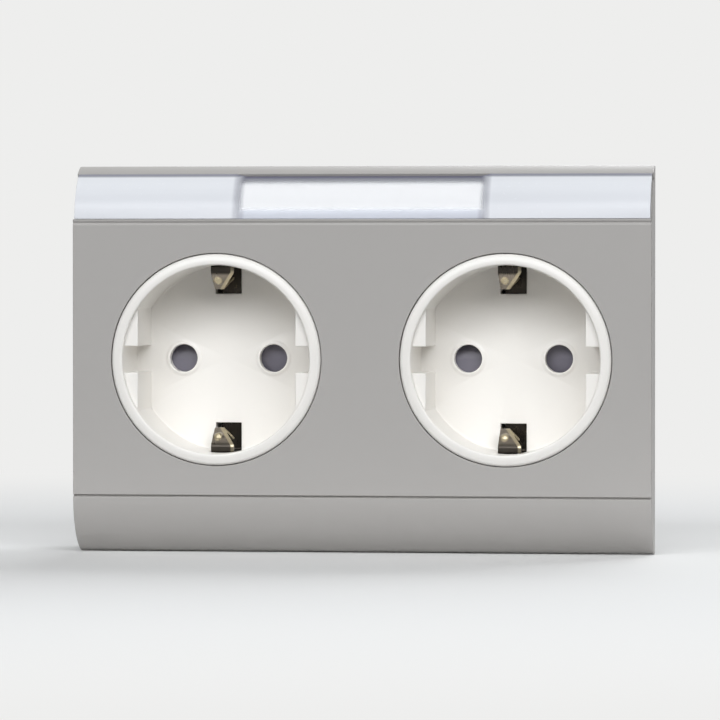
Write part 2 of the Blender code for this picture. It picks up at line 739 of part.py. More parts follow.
def arm_taper(side):
    """What is sheared off one edge of an arm, so that it narrows from its fold to its nose."""
    nose_x = BRACKET_ARM_WIDTH - BRACKET_HALF_WIDTH
    beyond_x, beyond_z = BRACKET_HALF_WIDTH + CUT_MARGIN, BRACKET_NOSE_RADIUS - CUT_MARGIN
    outline = [
        (beyond_x, beyond_z),
        (beyond_x, BRACKET_FOLD_Z),
        (BRACKET_HALF_WIDTH, BRACKET_FOLD_Z),
        (nose_x, BRACKET_NOSE_RADIUS),
        (nose_x, beyond_z),
    ]
    outline = [(x, side * z) for x, z in outline]
    return prism(outline, "Y", BRACKET_FOLD_Y - CUT_MARGIN, FLOOR_Y)


def arm_dimple(side):
    """The pressed dimple in the middle of an arm that touches the plug's earth contact."""
    half = BRACKET_THICKNESS / 2
    profile = [
        (0.0, half + BRACKET_DIMPLE_HEIGHT),
        (BRACKET_DIMPLE_RADIUS / 2, half + BRACKET_DIMPLE_HEIGHT * 3 / 4),
        (BRACKET_DIMPLE_RADIUS, 0.0),
        (0.0, 0.0),
    ]
    dimple = turned(profile, SMALL_FACETS)
    along_y, along_z = BRACKET_NOSE_Y - BRACKET_FOLD_Y, BRACKET_FOLD_Z - BRACKET_NOSE_RADIUS
    lean = atan(along_y / along_z)
    bmesh.ops.rotate(dimple, verts=dimple.verts, matrix=Matrix.Rotation(side * (pi + lean), 3, "X"))
    middle_y = (BRACKET_FOLD_Y + BRACKET_NOSE_Y) / 2
    middle_z = (BRACKET_FOLD_Z + BRACKET_NOSE_RADIUS) / 2
    return moved(dimple, BRACKET_DIMPLE_X, middle_y, side * middle_z)


def add_earth_brackets(finish, axes):
    width = 2 * BRACKET_HALF_WIDTH
    path = bracket_path()
    first = add_sheet(
        "earth_bracket_left", path, "X", width, BRACKET_THICKNESS, finish, parent=axes["left"],
    )
    cut(first, mirrored(arm_taper))
    weld(first, mirrored(arm_dimple))
    add_object("earth_bracket_right", first.data, axes["right"])


def contact_tab(start_y, centre_z):
    """The upright tab in a terminal cell that the wire is pressed on."""
    half = TAB_HEIGHT / 2
    end_y = HOUSING_BACK_Y - TAB_END_GAP
    return box(TAB_X, TAB_X + TAB_THICKNESS, start_y, end_y, centre_z - half, centre_z + half)


def add_earth_bar(finish):
    end = SOCKET_X + EARTH_BAR_OVERHANG
    low, high = EARTH_BAR_Z - EARTH_BAR_WIDTH / 2, EARTH_BAR_Z + EARTH_BAR_WIDTH / 2
    riser_low, riser_high = TAB_X, TAB_X + EARTH_RISER_WIDTH
    top = TAB_HEIGHT / 2
    outline = [(-end, low), (end, low), (end, high), (riser_high, high)]
    outline += [(riser_high, top), (riser_low, top), (riser_low, high), (-end, high)]
    body = prism(outline, "Y", EARTH_BAR_Y, EARTH_BAR_Y + EARTH_BAR_THICKNESS)
    bar = add_object("earth_bar", finish_mesh(body, "earth_bar", finish))
    weld(bar, contact_tab(EARTH_BAR_Y + EARTH_BAR_THICKNESS / 2, 0.0))


# Live and neutral busbars

def busbar_outline(eyes, side):
    """A strip along X with a leg to each pin sleeve."""
    reach = SLEEVE_BORE_RADIUS + SLEEVE_WALL
    inner, outer = BUSBAR_Z - BUSBAR_WIDTH / 2, BUSBAR_Z + BUSBAR_WIDTH / 2
    low_eye, high_eye = sorted(eyes)
    outline = [
        (low_eye - reach, outer),
        (low_eye - reach, -reach),
        (low_eye + reach, -reach),
        (low_eye + reach, inner),
        (high_eye - reach, inner),
        (high_eye - reach, -reach),
        (high_eye + reach, -reach),
        (high_eye + reach, outer),
    ]
    return [(x, side * z) for x, z in outline]


def add_busbar(name, pin_side, bar_side, finish):
    """A busbar with a sleeve round each pin, split by a slot into two spring leaves."""
    eyes = [socket * SOCKET_X + pin_side * PIN_X for socket in (-1, 1)]
    body = prism(busbar_outline(eyes, bar_side), "Y", BUSBAR_Y, BUSBAR_BACK_Y)
    bar = add_object(name, finish_mesh(body, name, finish))
    middle, end = BUSBAR_Y + BUSBAR_THICKNESS / 2, SLEEVE_BACK_Y + CUT_MARGIN
    wall = SLEEVE_BORE_RADIUS + SLEEVE_WALL
    weld(bar, together([cylinder(wall, middle, SLEEVE_BACK_Y, (x, 0.0)) for x in eyes]))
    bores = [cylinder(SLEEVE_BORE_RADIUS, BUSBAR_Y - CUT_MARGIN, end, (x, 0.0)) for x in eyes]
    cut(bar, together(bores))
    slot_start = BUSBAR_BACK_Y + SLEEVE_COLLAR
    half_slot, reach = SLEEVE_SLOT / 2, wall + CUT_MARGIN
    slots = [box(x - half_slot, x + half_slot, slot_start, end, -reach, reach) for x in eyes]
    cut(bar, together(slots))
    weld(bar, contact_tab(middle, bar_side * CELL_PITCH))


# Terminal springs and release buttons, one to each cell

def leaf_path():
    """The clamp spring's middle line as (x, y): up the wall, round a bend and down to the tab."""
    half = LEAF_THICKNESS / 2
    wall_x = CELL_WIDTH / 2 - SEAT_GAP - half
    bend_y = BUTTON_FRONT_Y - SEAT_GAP - half
    foot_y = BUSBAR_BACK_Y + SEAT_GAP + half + SLEEVE_COLLAR
    tip_x = TAB_X + TAB_THICKNESS + SEAT_GAP + half
    points = [(wall_x, foot_y), (wall_x, bend_y), (wall_x - 2 * LEAF_BEND, bend_y), (tip_x, foot_y)]
    return rounded_path(points, LEAF_BEND * BEND_SHARE)


def button_bodies():
    """The sliding stem of a release button and the collar that keeps it in."""
    half, collar = BUTTON_WIDTH / 2, BUTTON_WIDTH / 2 + BUTTON_COLLAR
    end = REAR_BACK_Y + BUTTON_STAND
    stem_end = end - BUTTON_EDGE

    def square(size, y):
        return [place("Y", u, v, y) for u, v in rectangle(-size, size, -size, size)]

    collar_end = BUTTON_FRONT_Y + 2 * BUTTON_COLLAR
    sizes = [(collar, BUTTON_FRONT_Y), (collar, collar_end), (half, collar_end), (half, stem_end)]
    sizes.append((half - BUTTON_EDGE, end))
    return loft([square(size, y) for size, y in sizes])


def add_terminals(spring_finish, button_finish):
    path = leaf_path()
    button = finish_mesh(button_bodies(), "release_button", button_finish)
    for name, row in (("live", 1), ("earth", 0), ("neutral", -1)):
        centre_z = row * CELL_PITCH
        add_sheet(
            f"terminal_spring_{name}", path, "Z", LEAF_WIDTH, LEAF_THICKNESS, spring_finish,
            location=(0.0, 0.0, centre_z),
        )
        add_object(f"release_button_{name}", button, location=(BUTTON_X, 0.0, centre_z))


# Base housing

def cell_frame():
    """The walls round the three terminal cells, behind the deck."""
    half_x, half_z = CELL_WIDTH / 2 + CELL_WALL, 1.5 * CELL_HEIGHT + 2 * CELL_WALL
    return box(-half_x, half_x, DECK_Y + DECK_THICKNESS / 2, HOUSING_BACK_Y, -half_z, half_z)


def cell_hollow(row):
    half_x, half_z = CELL_WIDTH / 2, CELL_HEIGHT / 2
    middle = row * CELL_PITCH
    return box(-half_x, half_x, DECK_BACK_Y, HOUSING_BACK_Y + CUT_MARGIN, middle - half_z, middle + half_z)


def collar(side):
    """The collar round one insert, which its flange sits on."""
    inner, outer = POT_RADIUS + SEAT_GAP, POT_RADIUS + SEAT_GAP + COLLAR_WALL
    back = DECK_Y + DECK_THICKNESS / 2
    profile = [(inner, HOUSING_FRONT_Y), (outer, HOUSING_FRONT_Y), (outer, back), (inner, back)]
    return moved(turned(profile, RECESS_FACETS, closed=True), x=side * SOCKET_X)


def busbar_notch(side):
    """The passage of a busbar through the walls of its cell."""
    half_x = CELL_WIDTH / 2 + CELL_WALL + CUT_MARGIN
    reach = BUSBAR_WIDTH / 2 + SEAT_GAP
    low, high = side * BUSBAR_Z - reach, side * BUSBAR_Z + reach
    return box(-half_x, half_x, DECK_BACK_Y, BUSBAR_BACK_Y + SEAT_GAP, low, high)


def clip_slots():
    """Slots in the upper and lower walls that the hooks of the clips stand in."""
    half_x = CLIP_WIDTH / 2 + SEAT_GAP
    half_y = CLIP_THICKNESS / 2 + SEAT_GAP
    slots = []
    for x in (-SOCKET_X, SOCKET_X):
        for side in (-1, 1):
            ends = (HOUSING_HALF_HEIGHT - HOUSING_WALL - CUT_MARGIN, HOUSING_HALF_HEIGHT + CUT_MARGIN)
            low, high = sorted(side * end for end in ends)
            slots.append(box(x - half_x, x + half_x, CLIP_LEG_START - half_y, CLIP_LEG_START + half_y, low, high))
    return together(slots)


def add_base_housing(finish):
    outer = rounded_rectangle(HOUSING_HALF_WIDTH, HOUSING_HALF_HEIGHT, HOUSING_CORNER)
    inner_corner = HOUSING_CORNER - HOUSING_WALL / 2
    inner = rounded_rectangle(HOUSING_HALF_WIDTH - HOUSING_WALL, HOUSING_HALF_HEIGHT - HOUSING_WALL, inner_corner)
    body = prism(outer, "Y", HOUSING_FRONT_Y, HOUSING_BACK_Y)
    base = add_object("base_housing", finish_mesh(body, "base_housing", finish))
    cut(base, prism(inner, "Y", HOUSING_FRONT_Y - CUT_MARGIN, DECK_Y))
    cut(base, prism(inner, "Y", DECK_BACK_Y, HOUSING_BACK_Y + CUT_MARGIN))
    weld(base, mirrored(collar))
    weld(base, cell_frame())
    cut(base, together([cell_hollow(row) for row in (-1, 0, 1)]))
    front = BOSS_BACK_Y + SEAT_GAP
    weld(base, corners(lambda x, z: cylinder(POST_RADIUS, front, HOUSING_BACK_Y, (x, z))))
    cut(base, corners(lambda x, z: cylinder(SCREW_HOLE_RADIUS, front - CUT_MARGIN, REAR_Y, (x, z))))
    bar_end = SOCKET_X + EARTH_BAR_OVERHANG + SEAT_GAP
    bar_reach = EARTH_BAR_WIDTH / 2 + SEAT_GAP
    bar_top = EARTH_BAR_Z + bar_reach
    cut(base, box(-bar_end, bar_end, EARTH_BAR_Y - SEAT_GAP, DECK_Y, EARTH_BAR_Z - bar_reach, bar_top))
    half_tab = TAB_HEIGHT / 2 + SEAT_GAP
    tab_ends = (TAB_X - SEAT_GAP, TAB_X + TAB_THICKNESS + SEAT_GAP)
    cut(base, box(*tab_ends, DECK_Y - CUT_MARGIN, DECK_BACK_Y + CUT_MARGIN, -half_tab, half_tab))
    cut(base, mirrored(busbar_notch))
    pins = [socket * SOCKET_X + side * PIN_X for socket in (-1, 1) for side in (-1, 1)]
    ends = (DECK_Y - CUT_MARGIN, DECK_BACK_Y + CUT_MARGIN)
    cut(base, together([cylinder(PIN_HOLE_RADIUS, *ends, (x, 0.0)) for x in pins]))
    cut(base, clip_slots())


# Rear cover

def rear_lip():
    """The low lip that locates the rear cover inside the housing's walls."""
    inset = HOUSING_WALL + SEAT_GAP
    outer = (HOUSING_HALF_WIDTH - inset, HOUSING_HALF_HEIGHT - inset)
    corner = HOUSING_CORNER - HOUSING_WALL / 2
    front = REAR_Y - REAR_LIP_HEIGHT
    sections = []
    for half_x, half_z, y in (
        (*outer, REAR_Y + REAR_COVER_THICKNESS / 2),
        (*outer, front),
        (outer[0] - REAR_LIP_WALL, outer[1] - REAR_LIP_WALL, front),
        (outer[0] - REAR_LIP_WALL, outer[1] - REAR_LIP_WALL, REAR_Y + REAR_COVER_THICKNESS / 2),
    ):
        sections.append([place("Y", x, z, y) for x, z in rounded_rectangle(half_x, half_z, corner)])
    lip = bmesh.new()
    rings = [[lip.verts.new(point) for point in section] for section in sections]
    for ring, following in zip(rings, rings[1:] + rings[:1]):
        for index in range(len(ring)):
            after = (index + 1) % len(ring)
            lip.faces.new((ring[index], ring[after], following[after], following[index]))
    bmesh.ops.recalc_face_normals(lip, faces=lip.faces)
    return lip


def wire_entry(row):
    """A square hole for one wire, with a funnel on the outside."""
    half = WIRE_ENTRY / 2
    wide = half + WIRE_ENTRY_FUNNEL
    sizes = [(half, REAR_Y - CUT_MARGIN), (half, REAR_BACK_Y - WIRE_ENTRY_FUNNEL)]
    sizes += [(wide, REAR_BACK_Y), (wide, REAR_BACK_Y + CUT_MARGIN)]
    sections = []
    for size, y in sizes:
        outline = rectangle(ENTRY_X - size, ENTRY_X + size, row * CELL_PITCH - size, row * CELL_PITCH + size)
        sections.append([place("Y", x, z, y) for x, z in outline])
    return loft(sections)


def button_hole(row):
    half = BUTTON_WIDTH / 2 + SLIDE_GAP
    middle = row * CELL_PITCH
    ends = (REAR_Y - CUT_MARGIN, REAR_BACK_Y + CUT_MARGIN)
    return box(BUTTON_X - half, BUTTON_X + half, *ends, middle - half, middle + half)


def press_ribs():
    """Ribs on the inside of the rear cover that hold the busbars down on the deck."""
    half = PRESS_RIB_WIDTH / 2
    ribs = []
    for x in (-SOCKET_X, CELL_WIDTH):
        for side in (-1, 1):
            middle = side * BUSBAR_Z
            low_x, high_x = sorted((-side * (x - half), -side * (x + half)))
            ends = (BUSBAR_BACK_Y + SEAT_GAP, REAR_Y + REAR_COVER_THICKNESS / 2)
            ribs.append(box(low_x, high_x, *ends, middle - half, middle + half))
    return together(ribs)


def add_rear_cover(finish):
    outline = rounded_rectangle(HOUSING_HALF_WIDTH, HOUSING_HALF_HEIGHT, HOUSING_CORNER)
    cover = add_object("rear_cover", finish_mesh(prism(outline, "Y", REAR_Y, REAR_BACK_Y), "rear_cover", finish))
    weld(cover, rear_lip())
    around = POST_RADIUS + SEAT_GAP
    cut(cover, corners(lambda x, z: cylinder(around, REAR_Y - REAR_LIP_HEIGHT - CUT_MARGIN, REAR_Y, (x, z))))
    cut(cover, corners(lambda x, z: cylinder(SCREW_HOLE_RADIUS, REAR_Y, REAR_BACK_Y + CUT_MARGIN, (x, z))))
    weld(cover, press_ribs())

    def clamp_post(side):
        centre = (side * CLAMP_SCREW_SPACING / 2, CLAMP_Z)
        return cylinder(CLAMP_POST_RADIUS, REAR_Y + REAR_COVER_THICKNESS / 2, CLAMP_POST_BACK_Y, centre)

    def clamp_hole(side):
        centre = (side * CLAMP_SCREW_SPACING / 2, CLAMP_Z)
        return cylinder(SCREW_HOLE_RADIUS, REAR_BACK_Y, CLAMP_POST_BACK_Y + CUT_MARGIN, centre)

    weld(cover, mirrored(clamp_post))
    cut(cover, mirrored(clamp_hole))
    cut(cover, together([wire_entry(row) for row in (-1, 0, 1)]))
    cut(cover, together([button_hole(row) for row in (-1, 0, 1)]))


# Clips, clamp and screws

def clip_path():
    """A clip's middle line as (y, z): hook, leg on the housing, loop and spring tongue."""
    leg_z = HOUSING_HALF_HEIGHT + SEAT_GAP + CLIP_THICKNESS / 2
    leg_end = CLIP_LEG_START + CLIP_LEG_LENGTH
    tip_z = HALF_HEIGHT - CLIP_TIP_INSET
    points = [
        (CLIP_LEG_START, leg_z - CLIP_HOOK),
        (CLIP_LEG_START, leg_z),
        (leg_end, leg_z),
        (leg_end, leg_z + CLIP_LOOP_WIDTH),
        (CLIP_TIP_Y + CLIP_THICKNESS, tip_z),
        (CLIP_TIP_Y + CLIP_THICKNESS / 2, tip_z - CLIP_HOOK),
    ]
    return rounded_path(points, CLIP_BEND)


def add_trunk_clips(finish):
    for end, x in (("left", -SOCKET_X), ("right", SOCKET_X)):
        for edge, turn in (("upper", 0.0), ("lower", pi)):
            name = f"trunk_clip_{edge}_{end}"
            add_sheet(name, clip_path(), "X", CLIP_WIDTH, CLIP_THICKNESS, finish, location=(x, 0.0, 0.0), turn=turn)


def screw_mesh(length, name, finish):
    """A pan head screw along Y, its head's seat at the origin and its shank towards negative Y."""
    edge = SCREW_RADIUS / 2
    profile = [
        (0.0, -length),
        (SCREW_RADIUS - edge, -length),
        (SCREW_RADIUS, edge - length),
        (SCREW_RADIUS, 0.0),
        (SCREW_HEAD_RADIUS, 0.0),
        (SCREW_HEAD_RADIUS, SCREW_HEAD_HEIGHT / 2),
        (SCREW_HEAD_RADIUS - edge, SCREW_HEAD_HEIGHT),
        (0.0, SCREW_HEAD_HEIGHT),
    ]
    return finish_mesh(turned(profile, SMALL_FACETS), name, finish)


def cross_recess():
    """The cross cut in a screw's head."""
    half, reach = SCREW_SLOT_WIDTH / 2, SCREW_SLOT_REACH
    start, end = SCREW_HEAD_HEIGHT - SCREW_SLOT_DEPTH, SCREW_HEAD_HEIGHT + CUT_MARGIN
    outline = [(half, half), (half, reach), (-half, reach), (-half, half)]
    outline += [(-reach, half), (-reach, -half), (-half, -half), (-half, -reach)]
    outline += [(half, -reach), (half, -half), (reach, -half), (reach, half)]
    return prism(outline, "Y", start, end)


def add_screws(finish):
    seat = REAR_BACK_Y + SEAT_GAP
    length = seat - FACE_BACK_Y - SCREW_TIP_MARGIN
    places = [(x, z) for x in (-POST_X, POST_X) for z in (POST_Z, -POST_Z)]
    first = None
    for number, (x, z) in enumerate(places, start=1):
        mesh = first.data if first else screw_mesh(length, "housing_screw", finish)
        screw = add_object(f"housing_screw_{number}", mesh, location=(x, seat, z))
        if first is None:
            cut(screw, cross_recess())
            first = screw


def add_cable_clamp(bar_finish, screw_finish):
    """A bar over the cable's sheath, with teeth on its inner face, and its two screws."""
    half_x = CLAMP_SCREW_SPACING / 2 + CLAMP_POST_RADIUS
    half_z = CLAMP_BAR_WIDTH / 2
    room_x = CLAMP_SCREW_SPACING / 2 - CLAMP_POST_RADIUS
    body = box(-half_x, half_x, CLAMP_BAR_Y, CLAMP_BAR_BACK_Y, CLAMP_Z - half_z, CLAMP_Z + half_z)
    bar = add_object("cable_clamp_bar", finish_mesh(body, "cable_clamp_bar", bar_finish))
    teeth = []
    for shift in (-half_z / 2, half_z / 2):
        middle = CLAMP_Z + shift
        outline = [
            (CLAMP_BAR_Y + CLAMP_TOOTH, middle - CLAMP_TOOTH),
            (CLAMP_BAR_Y - CLAMP_TOOTH, middle),
            (CLAMP_BAR_Y + CLAMP_TOOTH, middle + CLAMP_TOOTH),
        ]
        teeth.append(prism(outline, "X", -room_x, room_x))
    weld(bar, together(teeth))

    def hole(side):
        centre = (side * CLAMP_SCREW_SPACING / 2, CLAMP_Z)
        ends = (CLAMP_BAR_Y - CUT_MARGIN, CLAMP_BAR_BACK_Y + CUT_MARGIN)
        return cylinder(SCREW_HOLE_RADIUS, *ends, centre)

    cut(bar, mirrored(hole))
    seat = CLAMP_BAR_BACK_Y + SEAT_GAP
    mesh = screw_mesh(CLAMP_SCREW_LENGTH, "cable_clamp_screw", screw_finish)
    for end, side in (("left", -1), ("right", 1)):
        x = side * CLAMP_SCREW_SPACING / 2
        screw = add_object(f"cable_clamp_screw_{end}", mesh, location=(x, seat, CLAMP_Z))
        if side < 0:
            cut(screw, cross_recess())
            mesh = screw.data


def main():
    for thing in list(bpy.data.objects):
        bpy.data.objects.remove(thing)
    grey_plastic = material("grey cover plastic", colour(170, 168, 167), 0.45)
    white_plastic = material("white insert plastic", colour(243, 242, 240), 0.35)
    clear_plastic = material("clear label plastic", colour(235, 238, 245), 0.15, alpha=0.35)
    paper = material("white paper", colour(250, 250, 250), 0.8)
    shutter_plastic = material("grey shutter plastic", colour(140, 140, 152), 0.5)
    housing_plastic = material("pale grey housing plastic", colour(205, 205, 203), 0.5)
    button_plastic = material("white button plastic", colour(232, 231, 228), 0.4)
    spring_steel = material("spring steel", colour(190, 186, 178), 0.3, metallic=1.0)
    brass = material("brass", colour(196, 164, 96), 0.35, metallic=1.0)
    zinc = material("zinc plated steel", colour(188, 190, 192), 0.4, metallic=1.0)

    axes = {}
    for side, x in (("left", -SOCKET_X), ("right", SOCKET_X)):
        axes[side] = add_object(f"socket_axis_{side}", None, location=(x, 0.0, 0.0))

    add_front_cover(grey_plastic)
    add_label_window(clear_plastic)
    add_label_paper(paper)
    add_socket_inserts(white_plastic, axes)
    add_shutters(shutter_plastic, axes)
    add_shutter_springs(spring_steel, axes)
    add_earth_brackets(spring_steel, axes)
    add_earth_bar(brass)
    add_busbar("live_busbar", -1, 1, brass)
    add_busbar("neutral_busbar", 1, -1, brass)
    add_terminals(spring_steel, button_plastic)
    add_base_housing(housing_plastic)
    add_rear_cover(housing_plastic)
    add_trunk_clips(zinc)
    add_screws(zinc)
    add_cable_clamp(housing_plastic, zinc)
    bpy.context.view_layer.update()


main()
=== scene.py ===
"""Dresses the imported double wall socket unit: finer pieces, their finishes, soft studio light.

X runs along the unit, Y into the wall and Z up, in metres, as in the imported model.
"""

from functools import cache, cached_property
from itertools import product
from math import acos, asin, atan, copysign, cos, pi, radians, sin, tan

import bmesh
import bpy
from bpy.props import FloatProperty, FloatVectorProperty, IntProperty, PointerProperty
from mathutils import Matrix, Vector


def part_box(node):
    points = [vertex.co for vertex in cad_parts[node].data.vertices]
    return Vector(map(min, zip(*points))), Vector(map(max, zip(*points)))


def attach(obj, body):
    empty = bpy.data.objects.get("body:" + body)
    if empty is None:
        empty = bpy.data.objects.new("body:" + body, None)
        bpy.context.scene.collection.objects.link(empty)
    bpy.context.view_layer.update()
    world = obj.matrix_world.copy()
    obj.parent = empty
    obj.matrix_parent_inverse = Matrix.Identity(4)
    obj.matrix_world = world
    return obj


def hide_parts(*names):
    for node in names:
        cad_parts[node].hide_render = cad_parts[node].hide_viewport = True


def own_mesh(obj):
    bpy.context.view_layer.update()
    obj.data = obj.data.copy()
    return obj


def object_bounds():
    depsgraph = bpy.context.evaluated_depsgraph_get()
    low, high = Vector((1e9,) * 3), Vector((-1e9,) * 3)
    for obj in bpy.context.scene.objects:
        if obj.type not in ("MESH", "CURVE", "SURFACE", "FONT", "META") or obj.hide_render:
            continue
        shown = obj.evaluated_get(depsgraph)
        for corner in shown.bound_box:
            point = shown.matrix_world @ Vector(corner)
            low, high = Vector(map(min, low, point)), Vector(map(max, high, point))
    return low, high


bl_info = {
    "name": "Double Wall Socket Unit",
    "version": (1, 0, 0),
    "blender": (4, 5, 0),
    "location": "3D View > Sidebar > Wall Socket",
    "description": "Builds the visible pieces of a double wall socket unit round its packed model",
    "category": "Object",
}

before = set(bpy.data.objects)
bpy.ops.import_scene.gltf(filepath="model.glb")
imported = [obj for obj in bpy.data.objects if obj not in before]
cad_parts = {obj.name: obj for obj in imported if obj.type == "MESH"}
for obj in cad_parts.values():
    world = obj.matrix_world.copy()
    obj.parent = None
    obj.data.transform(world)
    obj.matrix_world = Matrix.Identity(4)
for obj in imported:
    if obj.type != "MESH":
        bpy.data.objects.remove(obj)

CAD_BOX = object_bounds()
ROOT = "socket_unit"
SIDES = ("left", "right")
POLES = ("live", "earth", "neutral")

# Facets of the fine pieces
ROUND_STEPS = 144
HOLE_STEPS = 96
ARC_STEPS = 30
BEND_STEPS = 8
FILLET_STEPS = 5
COIL_STEPS = 28
WIRE_STEPS = 12
SCREW_STEPS = 24
ROWS_A_PITCH = 6
SHEET_COLUMNS = 15
FINE_COLUMNS = 24

# How far a cutting tool reaches past a piece, the angle below which faces meet smoothly, and the
# distance below which points are merged
CUT_MARGIN = 0.001
SMOOTH_BELOW = radians(32)
MERGE_DISTANCE = 0.000001

# Springs: the radius of a tight bend as a share of half its width, and the closed turns at each
# end of a coil
TIGHT_BEND = 0.85
CLOSED_TURNS = 0.75

# The floor, and each lamp's size and place from the unit's middle
FLOOR_RADIUS = 3.0
FLOOR_DROP = 0.0001
FLOOR_FADE = (0.16, 0.42)
KEY_LAMP = ((2.0, 0.56), (0.12, -1.19, 0.70))
TOP_LAMP = ((0.9, 0.5), (-0.10, -0.30, 1.0))
REAR_LAMP = ((1.2, 0.9), (0.4, 1.2, 0.95))
REAR_SHARE = 0.8


# Sizes and colours that a user would change

def length(name, description, value):
    return FloatProperty(
        name=name, description=description, default=value, unit="LENGTH", precision=5
    )


def rotation(name, description, degrees):
    return FloatProperty(
        name=name, description=description, default=radians(degrees), subtype="ANGLE"
    )


def power(name, description, value):
    return FloatProperty(name=name, description=description, default=value, min=0.0)


def display_colour(red, green, blue):
    """A colour as it is seen on a display, 0 to 255 a channel, as Blender's linear colour."""
    channels = []
    for value in (red, green, blue):
        part = value / 255
        channels.append(part / 12.92 if part <= 0.04045 else ((part + 0.055) / 1.055) ** 2.4)
    return tuple(channels)


def linear_tint(name, description, value):
    return FloatVectorProperty(
        name=name, description=description, default=value, subtype="COLOR", min=0.0, max=1.0
    )


def tint(name, description, red, green, blue):
    return linear_tint(name, description, display_colour(red, green, blue))


def share(name, description, value):
    return FloatProperty(name=name, description=description, default=value, min=0.0, max=1.0)


class CoverSizes(bpy.types.PropertyGroup):
    """Front cover and label strip."""

    shoulder_height: length("Shoulder height", "Height of each curved shoulder", 0.0118)
    shoulder_drop: length("Shoulder drop", "Depth that a shoulder falls back", 0.0088)
    face_wall: length("Face wall", "Thickness of the flat face", 0.0022)
    end_wall: length("End wall", "Thickness of the end walls", 0.0020)
    groove_width: length("Groove width", "Width of the groove beside each shoulder", 0.0004)
    groove_depth: length("Groove depth", "Depth of the groove beside the lower shoulder", 0.0006)
    seam_width: length("Seam width", "Width of the shallow seam below the label strip", 0.0007)
    seam_depth: length("Seam depth", "Depth of the shallow seam below the label strip", 0.00026)
    lower_land: length("Lower land", "Height of the cover below the label channel", 0.0008)
    upper_lip: length("Upper lip", "Height of the cover above the label channel", 0.0016)
    seat_gap: length("Seat gap", "Gap between pieces that seat on each other", 0.0003)
    strip_gap: length("Strip gap", "Gap round the label strip in its channel", 0.00004)
    strip_thickness: length("Strip thickness", "Thickness of the clear label strip", 0.0011)
    paper_thickness: length("Paper thickness", "Thickness of the label paper", 0.0002)
    back_wall: length("Back wall", "Thickness of the cover behind the label channel", 0.0014)
    view_width: length("View width", "Width of the sunk window over the label", 0.0490)
    view_sink: length("View sink", "Depth of the sunk window over the label", 0.0006)
    view_slope: length("View slope", "Width of the slopes round the sunk window", 0.0020)
    edge_round: length("Edge rounding", "Radius of the moulded edges", 0.00016)
    boss_radius: length("Boss radius", "Radius of the bosses for the housing screws", 0.0032)
    boss_end: length("Boss end", "Place of the bosses' ends behind the cover's back edges", 0.0017)


class InsertSizes(bpy.types.PropertyGroup):
    """Socket inserts and what shows inside them."""

    recess_radius: length("Recess radius", "Inner radius of the round recess", 0.0195)
    rim_land: length("Rim land", "Width of the rim round the recess", 0.0023)
    face_gap: length("Face gap", "Gap between the rim and the cover", 0.00016)
    recess_depth: length("Recess depth", "Depth of the floor behind the rim", 0.0175)
    rim_round: length("Rim rounding", "Radius of the rim's outer edge", 0.0009)
    rim_crease: length("Rim crease", "Drop of the rim's outer part below its inner part", 0.00010)
    rim_chamfer: length("Rim chamfer", "Chamfer of the rim's inner edge", 0.0004)
    pot_wall: length("Pot wall", "Thickness of the recess wall", 0.0017)
    floor_thickness: length("Floor thickness", "Thickness of the recess floor", 0.0025)
    flange_thickness: length("Flange thickness", "Thickness of the flange behind the cover", 0.0020)
    key_flat_radius: length("Key flat", "Distance of the key flats from the middle", 0.01645)
    key_setback: length("Key setback", "Depth of the key lands behind the rim", 0.0013)
    key_notch: length("Key notch", "Height of the notch between the key lands", 0.0055)
    pin_spacing: length("Pin spacing", "Distance between the two pin holes", 0.0190)
    pin_hole_radius: length("Pin hole radius", "Radius of a pin hole", 0.0029)
    bead_width: length("Bead width", "Width of the bead round a pin hole", 0.0008)
    bead_height: length("Bead height", "Height of the bead round a pin hole", 0.0003)
    window_width: length("Earth window width", "Width of the windows for the earth springs", 0.0054)
    window_inner_radius: length("Earth window reach", "Inner end of the earth windows", 0.0135)
    pocket_depth: length("Pocket depth", "Depth of the pockets in the recess wall", 0.0009)
    pocket_height: length("Pocket height", "Height of the pockets above the floor", 0.0094)
    hub_pin_radius: length("Hub pin radius", "Radius of the shutter's hub pin", 0.0020)
    hub_radius: length("Hub radius", "Radius of the shutter's hub", 0.0044)
    rib_angle: rotation("Spring rib angle", "Turn of the rib that takes the shutter's spring", 80)
    rib_half_length: length("Spring rib half length", "Half the length of that rib", 0.0016)
    rib_thickness: length("Spring rib thickness", "Thickness of that rib", 0.0010)
    shutter_cover: length("Shutter cover", "Overlap of a shutter's wing round its pin hole", 0.0006)
    shutter_ramp: length("Shutter ramp", "Depth of the ramp on a shutter's wing", 0.0012)


